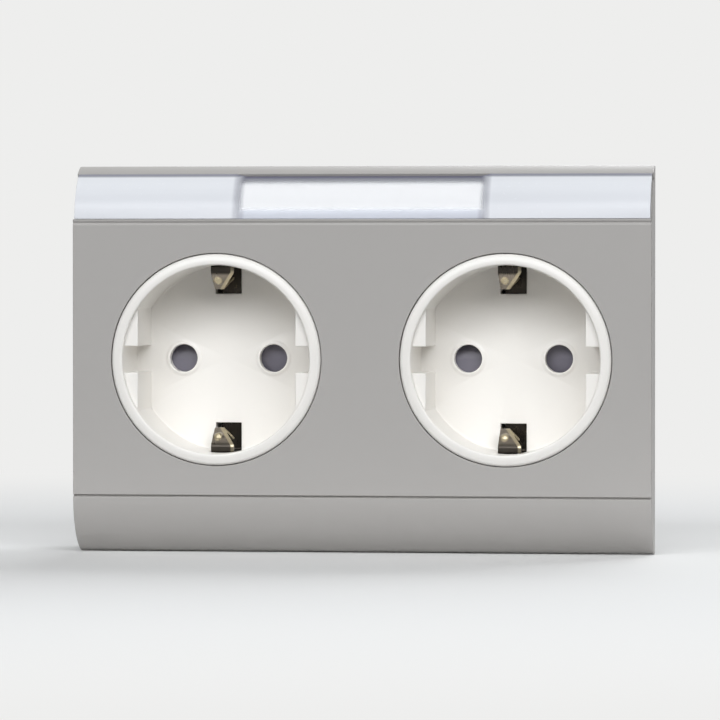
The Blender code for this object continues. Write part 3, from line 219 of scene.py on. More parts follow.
class MetalSizes(bpy.types.PropertyGroup):
    """Bent and turned metal pieces."""

    bracket_thickness: length("Bracket thickness", "Thickness of the earth bracket's sheet", 0.0006)
    bracket_fold: length("Bracket fold", "Radius of the fold at the top of an arm", 0.0009)
    nose_radius: length("Nose radius", "Distance of an arm's nose from the middle", 0.0145)
    nose_height: length("Nose height", "Height of an arm's nose above the floor", 0.0030)
    tail_radius: length("Tail radius", "Distance of an arm's tail from the middle", 0.0168)
    tail_height: length("Tail height", "Height of an arm's tail above the floor", 0.0009)
    arm_width: length("Arm width", "Width of an arm at its nose", 0.0018)
    dimple_x: length("Dimple place", "Place of the pressed dimple across the arm", -0.0012)
    dimple_radius: length("Dimple radius", "Radius of the pressed dimple", 0.0012)
    dimple_height: length("Dimple height", "Height of the pressed dimple", 0.00055)
    screw_radius: length("Screw radius", "Radius of a screw's shank", 0.0014)
    thread_pitch: length("Thread pitch", "Pitch of a screw's thread", 0.0007)
    thread_height: length("Thread height", "Height of a screw's thread", 0.00022)
    slot_width: length("Slot width", "Width of the cross in a screw's head", 0.0008)
    slot_reach: length("Slot reach", "Reach of the cross in a screw's head", 0.0019)
    slot_depth: length("Slot depth", "Depth of the cross in a screw's head", 0.0010)
    coil_radius: length("Coil radius", "Radius of a shutter spring's coils", 0.0008)
    coil_wire: length("Coil wire", "Radius of a shutter spring's wire", 0.0002)
    coil_turns: IntProperty(name="Coil turns", description="Turns of a spring", default=6, min=2)
    leaf_thickness: length("Leaf thickness", "Thickness of a terminal's leaf spring", 0.0004)
    leaf_bend: length("Leaf bend", "Radius of the bend in a terminal's leaf spring", 0.0011)
    clip_thickness: length("Clip thickness", "Thickness of a trunk clip's sheet", 0.0008)
    clip_bend: length("Clip bend", "Radius of a trunk clip's bends", 0.0010)
    clip_leg_start: length("Clip leg start", "Place of a clip's hook behind the cover", 0.0060)
    clip_leg_length: length("Clip leg length", "Length of a clip's leg on the housing", 0.0160)
    clip_hook: length("Clip hook", "Length of a clip's hook and of its bent tip", 0.0022)
    clip_loop: length("Clip loop", "Width of a clip's loop", 0.0026)
    clip_tip_y: length("Clip tip", "Place of a clip's tip behind the cover", 0.0030)
    clip_tip_inset: length("Clip tip inset", "Distance of a clip's tip inside the edge", 0.0014)
    clip_rib: length("Clip rib", "Height of the stiffening rib pressed in a clip's tongue", 0.0003)


class FinishColours(bpy.types.PropertyGroup):
    """Colours of the finishes."""

    cover: tint("Cover", "Grey moulded cover", 174, 171, 168)
    insert: tint("Insert", "White moulded inserts", 247, 244, 239)
    strip: tint("Label strip", "Frosted ends of the label strip", 233, 235, 241)
    strip_slope: tint("Strip slope", "Lower slope of the window over the label", 228, 232, 243)
    # Colour of the painted shade below the window's upper edge, in the gap above the strip and on
    # the window's end slopes
    strip_painted_shade: tint("Strip edge", "Shaded upper edge of the window over the label", 112, 112, 130)
    paper: tint("Paper", "Label paper", 254, 254, 255)
    shutter: tint("Shutter", "Shutters behind the pin holes", 116, 113, 124)
    housing: tint("Housing", "Housing and rear cover", 206, 206, 203)
    button: tint("Button", "Release buttons", 232, 230, 226)
    spring: tint("Spring steel", "Leaf and coil springs", 205, 200, 190)
    bracket: tint("Earth bracket", "Rolled faces of the earth brackets", 142, 134, 124)
    # Colour of the painted highlights along the brackets' cut edges and on their dimples
    bracket_highlight: tint("Cut edge", "Bright cut edges of the earth brackets", 190, 179, 152)
    brass: tint("Brass", "Bars and pin sleeves", 200, 168, 104)
    zinc: tint("Zinc", "Plated clips and screws", 172, 175, 179)


class StageSettings(bpy.types.PropertyGroup):
    """Light, floor and camera."""

    backdrop: tint("Backdrop", "Pale backdrop", 238, 238, 237)
    floor: tint("Floor", "Pale floor", 236, 236, 235)
    bounce_reach: length("Bounce reach", "Width of the floor round the unit that lights it", 0.025)
    lamp_colour: linear_tint("Lamp colour", "Colour of the lamps", (0.965, 0.982, 1.0))
    sky_colour: linear_tint("Sky colour", "Colour of the light from all round", (0.97, 0.985, 1.0))
    ambient: share("Ambient light", "Strength of the light from all round", 0.03)
    key_power: power("Key lamp", "Power of the large lamp", 21.1)
    top_power: power("Top lamp", "Power of the lamp above", 0.9)
    camera_azimuth: rotation("Camera azimuth", "Camera's turn to the right of the front", 7.6)
    camera_elevation: rotation("Camera elevation", "Camera's height above the level view", 1.1)
    camera_distance: length("Camera distance", "Distance of the camera from the unit", 1.07)
    picture_width: length("Picture width", "Width of the view at the unit", 0.148)


def settings():
    """The scene's property groups."""
    return bpy.context.scene.wall_socket


class WallSocketSettings(bpy.types.PropertyGroup):
    """All settings of the unit."""

    cover: PointerProperty(type=CoverSizes)
    insert: PointerProperty(type=InsertSizes)
    metal: PointerProperty(type=MetalSizes)
    colours: PointerProperty(type=FinishColours)
    stage: PointerProperty(type=StageSettings)


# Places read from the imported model

@cache
def packed_box(node):
    """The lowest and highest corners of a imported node."""
    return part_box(node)


def half_size():
    """Half the width and half the height of the cover."""
    high = packed_box("front_cover")[1]
    return high.x, high.z


def face_y():
    return packed_box("front_cover")[0].y


def span(node, axis):
    """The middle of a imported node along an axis, and half its length there."""
    low, high = (getattr(corner, axis) for corner in packed_box(node))
    return (low + high) / 2, (high - low) / 2


def socket_x(side):
    return span(f"socket_insert_{side}", "x")[0]


def floor_y():
    return packed_box("socket_insert_left")[0].y + settings().insert.recess_depth


# Outlines, as lists of two coordinates

def spread(start, end, steps):
    """Equally spaced values from the start to the end."""
    return [start + (end - start) * index / steps for index in range(steps + 1)]


def arc(centre, radius, start, end, steps):
    angles = spread(start, end, steps)
    return [(centre[0] + radius * cos(angle), centre[1] + radius * sin(angle)) for angle in angles]


def circle(radius, steps, centre=(0.0, 0.0)):
    return arc(centre, radius, 0.0, 2 * pi, steps)[:-1]


def rounded_path(points, radius):
    """An open path with its inner corners turned into arcs, as a strip of sheet metal is bent."""
    path = [Vector(points[0])]
    for before, corner, after in zip(points, points[1:], points[2:]):
        corner = Vector(corner)
        to_before = (Vector(before) - corner).normalized()
        to_after = (Vector(after) - corner).normalized()
        half_angle = to_before.angle(to_after) / 2
        centre = corner + (to_before + to_after).normalized() * (radius / sin(half_angle))
        first = corner + to_before * (radius / tan(half_angle)) - centre
        last = corner + to_after * (radius / tan(half_angle)) - centre
        for part in spread(0.0, 1.0, BEND_STEPS):
            path.append(centre + (first * (1 - part) + last * part).normalized() * radius)
    path.append(Vector(points[-1]))
    return path


def spaced(path, step):
    """The path with points added so that no stretch is longer than a step."""
    dense = [path[0]]
    for start, end in zip(path, path[1:]):
        count = max(1, int((end - start).length / step))
        dense += [start.lerp(end, (index + 1) / count) for index in range(count)]
    return dense


# Bodies, as bmeshes

def at(axis, u, v, along):
    """The 3D point of outline coordinates (u, v) on a body that runs along an axis."""
    if axis == "X":
        return Vector((along, u, v))
    if axis == "Y":
        return Vector((u, along, v))
    return Vector((u, v, along))


def merge_points(body):
    bmesh.ops.remove_doubles(body, verts=body.verts, dist=MERGE_DISTANCE)


def loft(outlines):
    """A closed body through outlines of equally many points, capped at both ends."""
    body = bmesh.new()
    rings = [[body.verts.new(point) for point in outline] for outline in outlines]
    for ring, following in zip(rings, rings[1:]):
        for index in range(len(ring)):
            after = (index + 1) % len(ring)
            body.faces.new((ring[index], ring[after], following[after], following[index]))
    body.faces.new(rings[0])
    body.faces.new(rings[-1])
    bmesh.ops.recalc_face_normals(body, faces=body.faces)
    return body


def prism(outline, axis, start, end):
    return loft([[at(axis, u, v, along) for u, v in outline] for along in (start, end)])


def box(low_x, high_x, low_y, high_y, low_z, high_z):
    outline = [(low_x, low_z), (high_x, low_z), (high_x, high_z), (low_x, high_z)]
    return prism(outline, "Y", low_y, high_y)


def cylinder(radius, start, end, centre=(0.0, 0.0), steps=HOLE_STEPS):
    return prism(circle(radius, steps, centre), "Y", start, end)


def lathe(profile, steps, closed=False):
    """A profile of (radius, y) points spun about the Y axis; a closed one makes a ring."""
    body = bmesh.new()
    verts = [body.verts.new((radius, y, 0.0)) for radius, y in profile]
    edges = [body.edges.new(pair) for pair in zip(verts, verts[1:])]
    if closed:
        edges.append(body.edges.new((verts[-1], verts[0])))
    turned = {"cent": (0, 0, 0), "axis": (0, 1, 0), "angle": 2 * pi, "steps": steps}
    bmesh.ops.spin(body, geom=verts + edges, **turned)
    merge_points(body)
    bmesh.ops.recalc_face_normals(body, faces=body.faces)
    return body


def moved(body, x=0.0, y=0.0, z=0.0):
    bmesh.ops.translate(body, verts=body.verts, vec=(x, y, z))
    return body


def together(bodies):
    whole = bmesh.new()
    for body in bodies:
        part = bpy.data.meshes.new("part")
        body.to_mesh(part)
        body.free()
        whole.from_mesh(part)
        bpy.data.meshes.remove(part)
    return whole


def on_both_sides(body_of):
    return together([body_of(-1), body_of(1)])


# Pieces

def add_object(name, data):
    made = bpy.data.objects.new(name, data)
    bpy.context.scene.collection.objects.link(made)
    return made


def add_piece(name, body):
    mesh = bpy.data.meshes.new(name)
    body.to_mesh(mesh)
    body.free()
    return add_object(name, mesh)


def combine(piece, body, operation):
    """Unites a body with the piece's mesh or cuts it out, and merges doubled points."""
    tool = add_piece("tool", body)
    modifier = piece.modifiers.new("combine", "BOOLEAN")
    modifier.operation = operation
    modifier.object = tool
    bpy.context.view_layer.update()
    evaluated = piece.evaluated_get(bpy.context.evaluated_depsgraph_get())
    result = bpy.data.meshes.new_from_object(evaluated)
    clean = bmesh.new()
    clean.from_mesh(result)
    merge_points(clean)
    bmesh.ops.dissolve_degenerate(clean, dist=MERGE_DISTANCE, edges=clean.edges)
    clean.to_mesh(result)
    clean.free()
    piece.modifiers.clear()
    used = (piece.data, tool.data)
    piece.data = result
    bpy.data.objects.remove(tool)
    for mesh in used:
        bpy.data.meshes.remove(mesh)
    result.name = piece.name


def weld(piece, body):
    combine(piece, body, "UNION")


def cut(piece, body):
    combine(piece, body, "DIFFERENCE")


def to_socket(piece, side):
    """Moves a mesh that was modelled round the axis of a socket to its place."""
    piece.data.transform(Matrix.Translation((socket_x(side), 0.0, 0.0)))


def round_edges(piece, part=1.0, segments=3):
    """Rounds the sharp edges, by a part of the radius of the moulded edges."""
    bevel = piece.modifiers.new("rounded edges", "BEVEL")
    bevel.width = settings().cover.edge_round * part
    bevel.segments = segments
    bevel.limit_method = "ANGLE"
    bevel.angle_limit = SMOOTH_BELOW
    bevel.use_clamp_overlap = False
    bevel.harden_normals = True


def paint(piece, look):
    piece.data.materials.clear()
    piece.data.materials.append(finish(look))


def dress(piece, slot, *stands_for, body=ROOT, look=None, rounding=1.0, segments=3):
    """Smooths, rounds and paints a piece, hangs it under its body's empty and hides the imported
    nodes it stands for.
    """
    piece.data.shade_smooth()
    piece.data.set_sharp_from_angle(angle=SMOOTH_BELOW)
    if rounding:
        round_edges(piece, rounding, segments)
    paint(piece, look or slot)
    for face in piece.data.polygons:
        face.material_index = 0
    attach(piece, body)
    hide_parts(*stands_for)


def bent_sheet(name, path, left, right, thickness, shape=None, columns=SHEET_COLUMNS):
    """A sheet bent along a path in the YZ plane, between two edges that follow the path."""
    body = bmesh.new()
    rows = []
    for point in path:
        places = spread(left(point), right(point), columns)
        rows.append([body.verts.new((x, point.x, point.y)) for x in places])
    for row, following in zip(rows, rows[1:]):
        for index in range(columns):
            body.faces.new((row[index], row[index + 1], following[index + 1], following[index]))
    bmesh.ops.recalc_face_normals(body, faces=body.faces)
    if shape:
        shape(body)
    sheet = add_piece(name, body)
    solidify = sheet.modifiers.new("sheet thickness", "SOLIDIFY")
    solidify.thickness = thickness
    solidify.offset = 0.0
    solidify.use_even_offset = True
    return sheet


# Nodes

class Term:
    """A socket that Python's arithmetic turns into Math nodes."""

    def __init__(self, nodes, socket):
        self.nodes = nodes
        self.socket = socket

    def math(self, operation, *values):
        return self.nodes.add("ShaderNodeMath", {"operation": operation}, dict(enumerate(values)))

    def __add__(self, other):
        return self.math("ADD", self, other)

    def __radd__(self, other):
        return self.math("ADD", other, self)

    def __sub__(self, other):
        return self.math("SUBTRACT", self, other)

    def __rsub__(self, other):
        return self.math("SUBTRACT", other, self)

    def __mul__(self, other):
        return self.math("MULTIPLY", self, other)

    def __rmul__(self, other):
        return self.math("MULTIPLY", other, self)

    def __pow__(self, other):
        return self.math("POWER", self, other)

    def __abs__(self):
        return self.math("ABSOLUTE", self)

    def larger(self, other):
        return self.math("MAXIMUM", self, other)

    def clamped(self):
        return self.math("MINIMUM", self.larger(0.0), 1.0)


class Nodes:
    """Makes and joins the nodes of one tree."""

    def __init__(self, tree):
        self.tree = tree

    def feed(self, socket, value):
        if isinstance(value, Term):
            self.tree.links.new(value.socket, socket)
        elif isinstance(value, bpy.types.NodeSocket):
            self.tree.links.new(value, socket)
        else:
            socket.default_value = value

    def add(self, kind, setup=None, values=None, output=0):
        """A node with its settings made first and its sockets fed next, as one of its outputs."""
        node = self.tree.nodes.new(kind)
        for name, value in (setup or {}).items():
            setattr(node, name, value)
        for name, value in (values or {}).items():
            self.feed(node.inputs[name], value)
        return Term(self, node.outputs[output]) if node.outputs else None


# Places of a Mix node's colour sockets, whose names its other sockets share
MIX_FACTOR, MIX_FIRST, MIX_SECOND, MIX_RESULT = 0, 6, 7, 2


class Recipe(Nodes):
    """The nodes of one finish round its Principled shader, or of the world round its background."""

    def __init__(self, name, world=False):
        self.owner = (bpy.data.worlds if world else bpy.data.materials).new(name)
        self.owner.use_nodes = True
        super().__init__(self.owner.node_tree)
        self.shader = self.tree.nodes["Background" if world else "Principled BSDF"]
        output = self.tree.nodes["World Output" if world else "Material Output"]
        self.surface = output.inputs["Surface"]

    @cached_property
    def place(self):
        return self.add("ShaderNodeTexCoord", output="Object")

    def noise(self, scale, detail=2.0, stretch=(1.0, 1.0, 1.0), roughness=0.5):
        """Noise between 0 and 1, stretched along the axes."""
        vectors = {0: self.place, 1: stretch}
        place = self.add("ShaderNodeVectorMath", {"operation": "MULTIPLY"}, vectors)
        values = {"Vector": place, "Scale": scale, "Detail": detail, "Roughness": roughness}
        return self.add("ShaderNodeTexNoise", None, values, "Fac")

    def band(self, value, low, high):
        """A mask that rises from 0 to 1 as the value goes from low to high."""
        values = {"Value": value, "From Min": low, "From Max": high, "To Min": 0.0, "To Max": 1.0}
        return self.add("ShaderNodeMapRange", {"interpolation_type": "SMOOTHSTEP"}, values)

    def axis(self, name):
        return self.add("ShaderNodeSeparateXYZ", None, {0: self.place}, name)

    def blend(self, mask, first, second):
        """A colour that goes from the first to the second with a mask."""
        values = {MIX_FACTOR: mask, MIX_FIRST: first, MIX_SECOND: second}
        return self.add("ShaderNodeMix", {"data_type": "RGBA"}, values, MIX_RESULT)

    def bump(self, height, distance, strength=1.0):
        values = {"Height": height, "Distance": distance, "Strength": strength}
        return self.add("ShaderNodeBump", None, values, "Normal")

    def seen_rays(self):
        """A mask that is 1 for the rays that see the backdrop, directly or in gloss and glass."""
        mask = self.add("ShaderNodeLightPath", output="Is Camera Ray")
        for name in ("Is Glossy Ray", "Is Transmission Ray"):
            mask = mask.larger(self.add("ShaderNodeLightPath", output=name))
        return mask

    def mix_surface(self, mask, first, second):
        """Shows the first shader where the mask is 0 and the second where it is 1."""
        values = {0: mask, 1: first, 2: second}
        self.feed(self.surface, self.add("ShaderNodeMixShader", None, values))

    def set(self, **values):
        """Feeds the Principled shader's sockets, whose names are written with underscores."""
        for name, value in values.items():
            self.feed(self.shader.inputs[name.replace("_", " ").title()], value)


# Scales of a rolled metal's lines along X, Y and Z
SPRING_LINES = (2400.0, 140.0, 140.0)
BRASS_LINES = (220.0, 2600.0, 900.0)
ZINC_LINES = (1500.0, 180.0, 180.0)


def shaded(colour, factor=1.0):
    """A linear colour made lighter or darker, with full alpha."""
    return (*(min(channel * factor, 1.0) for channel in colour), 1.0)


def moulded_plastic(name, colour, roughness, grain, grain_depth, mottle=0.015):
    """Moulded plastic: a fine spark-eroded grain, faint mottling and a little uneven gloss."""
    speck_share, speck_shade, gloss_spread, sink_share = 0.25, 0.86, 0.10, 3.0
    recipe = Recipe(name)
    patches = recipe.noise(38.0, detail=3.0)
    handled = recipe.noise(210.0, detail=4.0, roughness=0.6)
    specks = recipe.band(recipe.noise(2600.0, detail=1.0), 0.70, 0.78)
    base = recipe.blend(patches, shaded(colour, 1 - mottle), shaded(colour, 1 + mottle))
    base = recipe.blend(specks * speck_share, base, shaded(colour, speck_shade))
    texture = recipe.noise(grain, detail=3.0, roughness=0.55)
    sink = recipe.noise(24.0, detail=1.0)
    recipe.set(
        base_color=base,
        roughness=roughness - gloss_spread / 2 + gloss_spread * handled,
        normal=recipe.bump(texture + sink_share * sink, grain_depth, strength=0.6),
    )
    return recipe.owner


def clear_strip():
    """Clear plastic, frosted at both ends and polished in the sunk window over the label, with
    painted shade and a painted top highlight.
    """
    colours, sizes = settings().colours, settings().cover
    slope, half_view = sizes.view_slope, sizes.view_width / 2
    # Where the painted shade below the strip's upper edge and the painted shade line in its gap
    # start and end, and how strong the masks are
    edge_start, edge_end, line_start, line_end = 0.0021, 0.0007, 0.0009, 0.0004
    line_share, end_shade_share, slope_haze, streaks = 0.8, 0.35, 0.55, 0.12
    recipe = Recipe("clear label strip")
    _, _, start, end = shoulder_angles()
    low_z, high_z = shoulder_point(start, 0.0, 1)[1], shoulder_point(end, 0.0, 1)[1]
    from_middle, height = abs(recipe.axis("X")), recipe.axis("Z")
    frosted = recipe.band(from_middle, half_view - 0.0002, half_view + slope)
    lower_slope = recipe.band(height, low_z + slope * 1.3, low_z + slope * 0.7)
    # Painted shade that the cover's lip casts on the sunk window, made nearly opaque, and a painted
    # line of shade in the gap above the strip
    painted_edge_shade = recipe.band(height, high_z - edge_start, high_z - edge_end) * (1 - frosted)
    painted_gap_line = recipe.band(height, high_z - line_start, high_z - line_end)
    from_end = abs(from_middle - half_view - slope / 2)
    # Painted shade on the window's end slopes
    painted_end_shade = recipe.band(from_end, slope * 0.75, slope * 0.35)
    drawn = recipe.noise(1.0, stretch=(12.0, 900.0, 900.0))
    specks = recipe.band(recipe.noise(1500.0), 0.66, 0.74)
    # Painted light: the strip grows lighter towards its top and darker towards its bottom, with
    # drawn streaks laid over it
    painted_rise_and_streaks = recipe.band(height, low_z - 0.0010, high_z) + streaks * (drawn - 0.5)
    colour = recipe.blend(painted_rise_and_streaks.clamped(), shaded(colours.strip, 0.93), shaded(colours.strip, 1.16))
    colour = recipe.blend(lower_slope * (1 - frosted), colour, shaded(colours.strip_slope))
    colour = recipe.blend(painted_end_shade * end_shade_share, colour, shaded(colours.strip_painted_shade))
    painted_shade = painted_edge_shade.larger(painted_gap_line * line_share)
    colour = recipe.blend(painted_shade, colour, shaded(colours.strip_painted_shade))
    hazy = frosted.larger(lower_slope * slope_haze)
    recipe.set(
        base_color=colour,
        alpha=(0.04 + 0.82 * hazy + 0.86 * painted_edge_shade + 0.04 * specks).clamped(),
        roughness=0.10 + 0.16 * hazy + 0.05 * drawn + 0.05 * specks,
        normal=recipe.bump(drawn * frosted, 0.00003, strength=0.5),
    )
    return recipe.owner


def label_paper():
    """Matt white paper with fibres and a faint unevenness."""
    colour, fibre_share, fibre_shade, cloud_shade = settings().colours.paper, 0.3, 0.93, 0.985
    recipe = Recipe("white label paper")
    fibres = recipe.noise(1800.0, detail=4.0, stretch=(0.35, 1.0, 1.0), roughness=0.7)
    clouds = recipe.noise(160.0)
    base = recipe.blend(clouds, shaded(colour, cloud_shade), shaded(colour))
    base = recipe.blend(fibres * fibre_share, base, shaded(colour, fibre_shade))
    normal = recipe.bump(fibres, 0.00002, strength=0.7)
    recipe.set(base_color=base, roughness=0.78 + 0.1 * fibres, normal=normal)
    return recipe.owner


def rolled_metal(name, colour, roughness, stretch, stain, stain_colour=None, recoloured=None):
    """Rolled or drawn metal with fine lines along the sheet and a patchy surface film."""
    line_shades, film_shade, line_depth, scratch_depth = (0.86, 1.04), 0.55, 0.000012, 0.6
    recipe = Recipe(name)
    lines = recipe.noise(1.0, detail=3.0, stretch=stretch, roughness=0.65)
    film = recipe.band(recipe.noise(260.0, detail=4.0, roughness=0.6), 0.42, 0.66)
    scratches = recipe.band(recipe.noise(900.0, stretch=(1.0, 0.12, 0.25)), 0.64, 0.70)
    base = recipe.blend(lines, *(shaded(colour, shade) for shade in line_shades))
    base = recipe.blend(film * stain, base, stain_colour or shaded(colour, film_shade))
    if recoloured:
        base = recoloured(recipe, base)
    recipe.set(
        base_color=base,
        metallic=1.0,
        roughness=roughness + 0.10 * lines + 0.12 * film - 0.06 * scratches,
        normal=recipe.bump(lines + scratch_depth * scratches, line_depth, strength=0.6),
    )
    return recipe.owner


def bracket_steel():
    """Spring steel, with painted highlights on the cut edges and dimples and painted shade at the
    folds and behind the floor.
    """
    colours, sizes = settings().colours, settings().metal
    fold_z, nose_z, half, nose_x = arm_taper()
    # Painted shade: how deep the darkening behind the floor reaches, how dark it gets, and how much
    # the fold's painted shade dims the edge highlight
    hidden_depth, depth_shade_share, fold_shade_share = 0.0035, 0.92, 0.75
    # Where the painted highlight along the cut edge and the painted glint on the dimple start and
    # end
    edge_start, edge_end, dimple_glint_start, dimple_glint_end = 0.00078, 0.00052, 0.85, 0.45

    def recoloured(recipe, base):
        across, from_middle = recipe.axis("X"), abs(recipe.axis("Z"))
        side = recipe.add("ShaderNodeMath", {"operation": "SIGN"}, {0: across})
        beside_axis = across - side * socket_x("right")
        along = (fold_z - from_middle) * (1 / (fold_z - nose_z))
        edge = half + (nose_x - half) * along.clamped()
        # Painted shade: the arm goes dark behind the floor, where the recess gets no light
        painted_depth_shade = recipe.band(recipe.axis("Y"), floor_y(), floor_y() + hidden_depth)
        past_fold = recipe.band(from_middle, fold_z - 0.0002, fold_z + 0.0006)
        # Painted highlight along the cut edge, dimmed past the fold, where the fold lies in shade
        painted_edge_highlight = recipe.band(edge - beside_axis, edge_start, edge_end) * (1 - painted_depth_shade)
        painted_edge_highlight = painted_edge_highlight * (1 - fold_shade_share * past_fold)
        # Painted shade at the fold near the wall
        painted_fold_shade = recipe.band(from_middle, fold_z - 0.0008, fold_z)
        from_x = beside_axis - sizes.dimple_x
        from_z = from_middle - (fold_z + nose_z) / 2
        from_dimple = (from_x * from_x + from_z * from_z) ** 0.5
        radius = sizes.dimple_radius
        # Painted glint on the dimple
        painted_dimple_glint = recipe.band(from_dimple, radius * dimple_glint_start, radius * dimple_glint_end)
        base = recipe.blend(painted_dimple_glint, base, shaded(colours.bracket_highlight, 1.25))
        # Shaded copies of the bracket's colour make the painted shade at the fold and behind the
        # floor
        base = recipe.blend(painted_fold_shade * (1 - painted_depth_shade), base, shaded(colours.bracket, 0.16))
        base = recipe.blend(painted_edge_highlight, base, shaded(colours.bracket_highlight))
        return recipe.blend(painted_depth_shade * depth_shade_share, base, shaded(colours.bracket, 0.10))

    name = "earth bracket steel"
    return rolled_metal(name, colours.bracket, 0.22, SPRING_LINES, 0.25, recoloured=recoloured)


@cache
def finish(look):
    """One of the unit's finishes, made when it is first asked for."""
    colours = settings().colours
    makers = {"clear_plastic": clear_strip, "paper": label_paper, "bracket_steel": bracket_steel}
    plastics = {
        "cover_plastic": ("grey cover plastic", colours.cover, 0.46, 5200.0, 0.000012),
        "insert_plastic": ("white insert plastic", colours.insert, 0.30, 3200.0, 0.000005, 0.006),
        "shutter_plastic": ("shutter plastic", colours.shutter, 0.42, 4200.0, 0.00001),
        "housing_plastic": ("pale housing plastic", colours.housing, 0.50, 4200.0, 0.000016, 0.02),
        "button_plastic": ("button plastic", colours.button, 0.36, 4200.0, 0.000008),
    }
    brass_stain, zinc_stain = shaded(colours.brass, 0.42), shaded(display_colour(168, 172, 160))
    metals = {
        "spring_steel": ("spring steel", colours.spring, 0.20, SPRING_LINES, 0.18),
        "brass": ("brass", colours.brass, 0.26, BRASS_LINES, 0.35, brass_stain),
        "zinc_steel": ("zinc plated steel", colours.zinc, 0.42, ZINC_LINES, 0.22, zinc_stain),
    }
    if look in makers:
        return makers[look]()
    return moulded_plastic(*plastics[look]) if look in plastics else rolled_metal(*metals[look])


# Front cover

def shoulder_point(angle, inset, side):
    """A point (y, z) of a shoulder, at an angle from the face and a depth below its surface."""
    radius = shoulder_angles()[0]
    depth = face_y() + radius - (radius - inset) * cos(angle)
    return depth, side * (face_end() + (radius - inset) * sin(angle))


def shoulder_arc(start, end, inset, side, steps=ARC_STEPS):
    return [shoulder_point(angle, inset, side) for angle in spread(start, end, steps)]


def shoulder_angles():
    """Radius of the shoulders, their full angle, and where the label channel starts and ends."""
    sizes = settings().cover
    full = 2 * atan(sizes.shoulder_drop / sizes.shoulder_height)
    radius = sizes.shoulder_height / sin(full)
    start = asin(sizes.lower_land / radius)
    end = asin((sizes.shoulder_height - sizes.upper_lip) / radius)
    return radius, full, start, end


def face_end():
    """Height at which the flat face ends and a shoulder starts."""
    return half_size()[1] - settings().cover.shoulder_height


def channel_depth():
    sizes = settings().cover
    return sizes.strip_thickness + sizes.paper_thickness + 2 * sizes.seat_gap


def cover_section():
    """The cover's outside, from its lower back edge over the face to its upper back edge."""
    sizes = settings().cover
    radius, full, start, end = shoulder_angles()
    groove, seam = sizes.groove_width / 2, sizes.seam_width / 2
    front, bottom, land = face_y(), face_y() + sizes.groove_depth, face_end()
    lower = shoulder_arc(full, asin(groove / radius), 0.0, -1)
    lower += [(bottom, -land - groove), (bottom, groove - land), (front, groove - land)]
    upper = [(front, land - seam), (front + sizes.seam_depth, land)]
    upper += shoulder_arc(asin(seam / radius), start, 0.0, 1, FILLET_STEPS)
    upper += shoulder_arc(start, end, channel_depth(), 1)
    upper += shoulder_arc(end, full, 0.0, 1, BEND_STEPS)
    back = half_size()[1]
    return [(0.0, -back)] + lower + upper + [(0.0, back)]


def cover_hollow():
    """The section of the cover's hollow, open at the back."""
    sizes = settings().cover
    full = shoulder_angles()[1]
    lower = shoulder_arc(full, 0.0, sizes.face_wall, -1)
    upper = shoulder_arc(0.0, full, channel_depth() + sizes.back_wall, 1)
    corner = [(face_y() + sizes.face_wall, face_end())]
    return [(CUT_MARGIN, lower[0][1])] + lower + corner + upper + [(CUT_MARGIN, upper[-1][1])]


class WALLSOCKET_OT_front_cover(bpy.types.Operator):
    """Builds the moulded front cover with its two round openings"""

    bl_idname = "wall_socket.front_cover"
    bl_label = "Front Cover"

    def execute(self, context):
        sizes, insert = settings().cover, settings().insert
        width = half_size()[0]
        cover = add_piece("cover_shell", prism(cover_section(), "X", -width, width))
        cut(cover, prism(cover_hollow(), "X", sizes.end_wall - width, width - sizes.end_wall))
        names = [f"housing_screw_{number}" for number in range(1, 5)]
        places = [(span(name, "x")[0], span(name, "z")[0]) for name in names]
        ends = (face_y() + sizes.face_wall / 2, sizes.boss_end)
        weld(cover, together([cylinder(sizes.boss_radius, *ends, place) for place in places]))
        hole = settings().metal.screw_radius + sizes.seat_gap
        ends = (face_y() + sizes.face_wall, sizes.boss_end + CUT_MARGIN)
        cut(cover, together([cylinder(hole, *ends, place) for place in places]))
        opening = insert.recess_radius + insert.rim_land + insert.face_gap
        ends = (face_y() - CUT_MARGIN, face_y() + sizes.face_wall + CUT_MARGIN)
        openings = [cylinder(opening, *ends, (socket_x(side), 0.0), ROUND_STEPS) for side in SIDES]
        cut(cover, together(openings))
        dress(cover, "cover_plastic", "front_cover")
        return {"FINISHED"}


# Label strip

def strip_section(along, sink):
    """The strip's curved section at one place, its outside sunk above a lower slope."""
    sizes = settings().cover
    radius, _, start, end = shoulder_angles()
    edge = sizes.strip_gap / radius
    start, end = start + edge, end - edge
    slope_end = start + sizes.view_slope / radius
    outline = [shoulder_point(start, 0.0, 1)]
    outline += shoulder_arc(slope_end, end, sink, 1)
    outline += shoulder_arc(end, start, sizes.strip_thickness, 1)
    return [at("X", y, z, along) for y, z in outline]


class WALLSOCKET_OT_label(bpy.types.Operator):
    """Builds the clear label strip and finishes the paper behind it"""

    bl_idname = "wall_socket.label"
    bl_label = "Label Strip"

    def execute(self, context):
        sizes = settings().cover
        end = half_size()[0] - sizes.seat_gap
        view_end = sizes.view_width / 2
        stations = [(end, 0.0), (view_end + sizes.view_slope, 0.0), (view_end, sizes.view_sink)]
        mirrored = [(-along, sink) for along, sink in stations]
        sections = [strip_section(*station) for station in mirrored + stations[::-1]]
        strip = add_piece("label_strip", loft(sections))
        dress(strip, "clear_plastic", "label_window", rounding=0.6)
        dress_node("label_paper", "paper")
        return {"FINISHED"}


# Socket inserts, modelled round their own axis

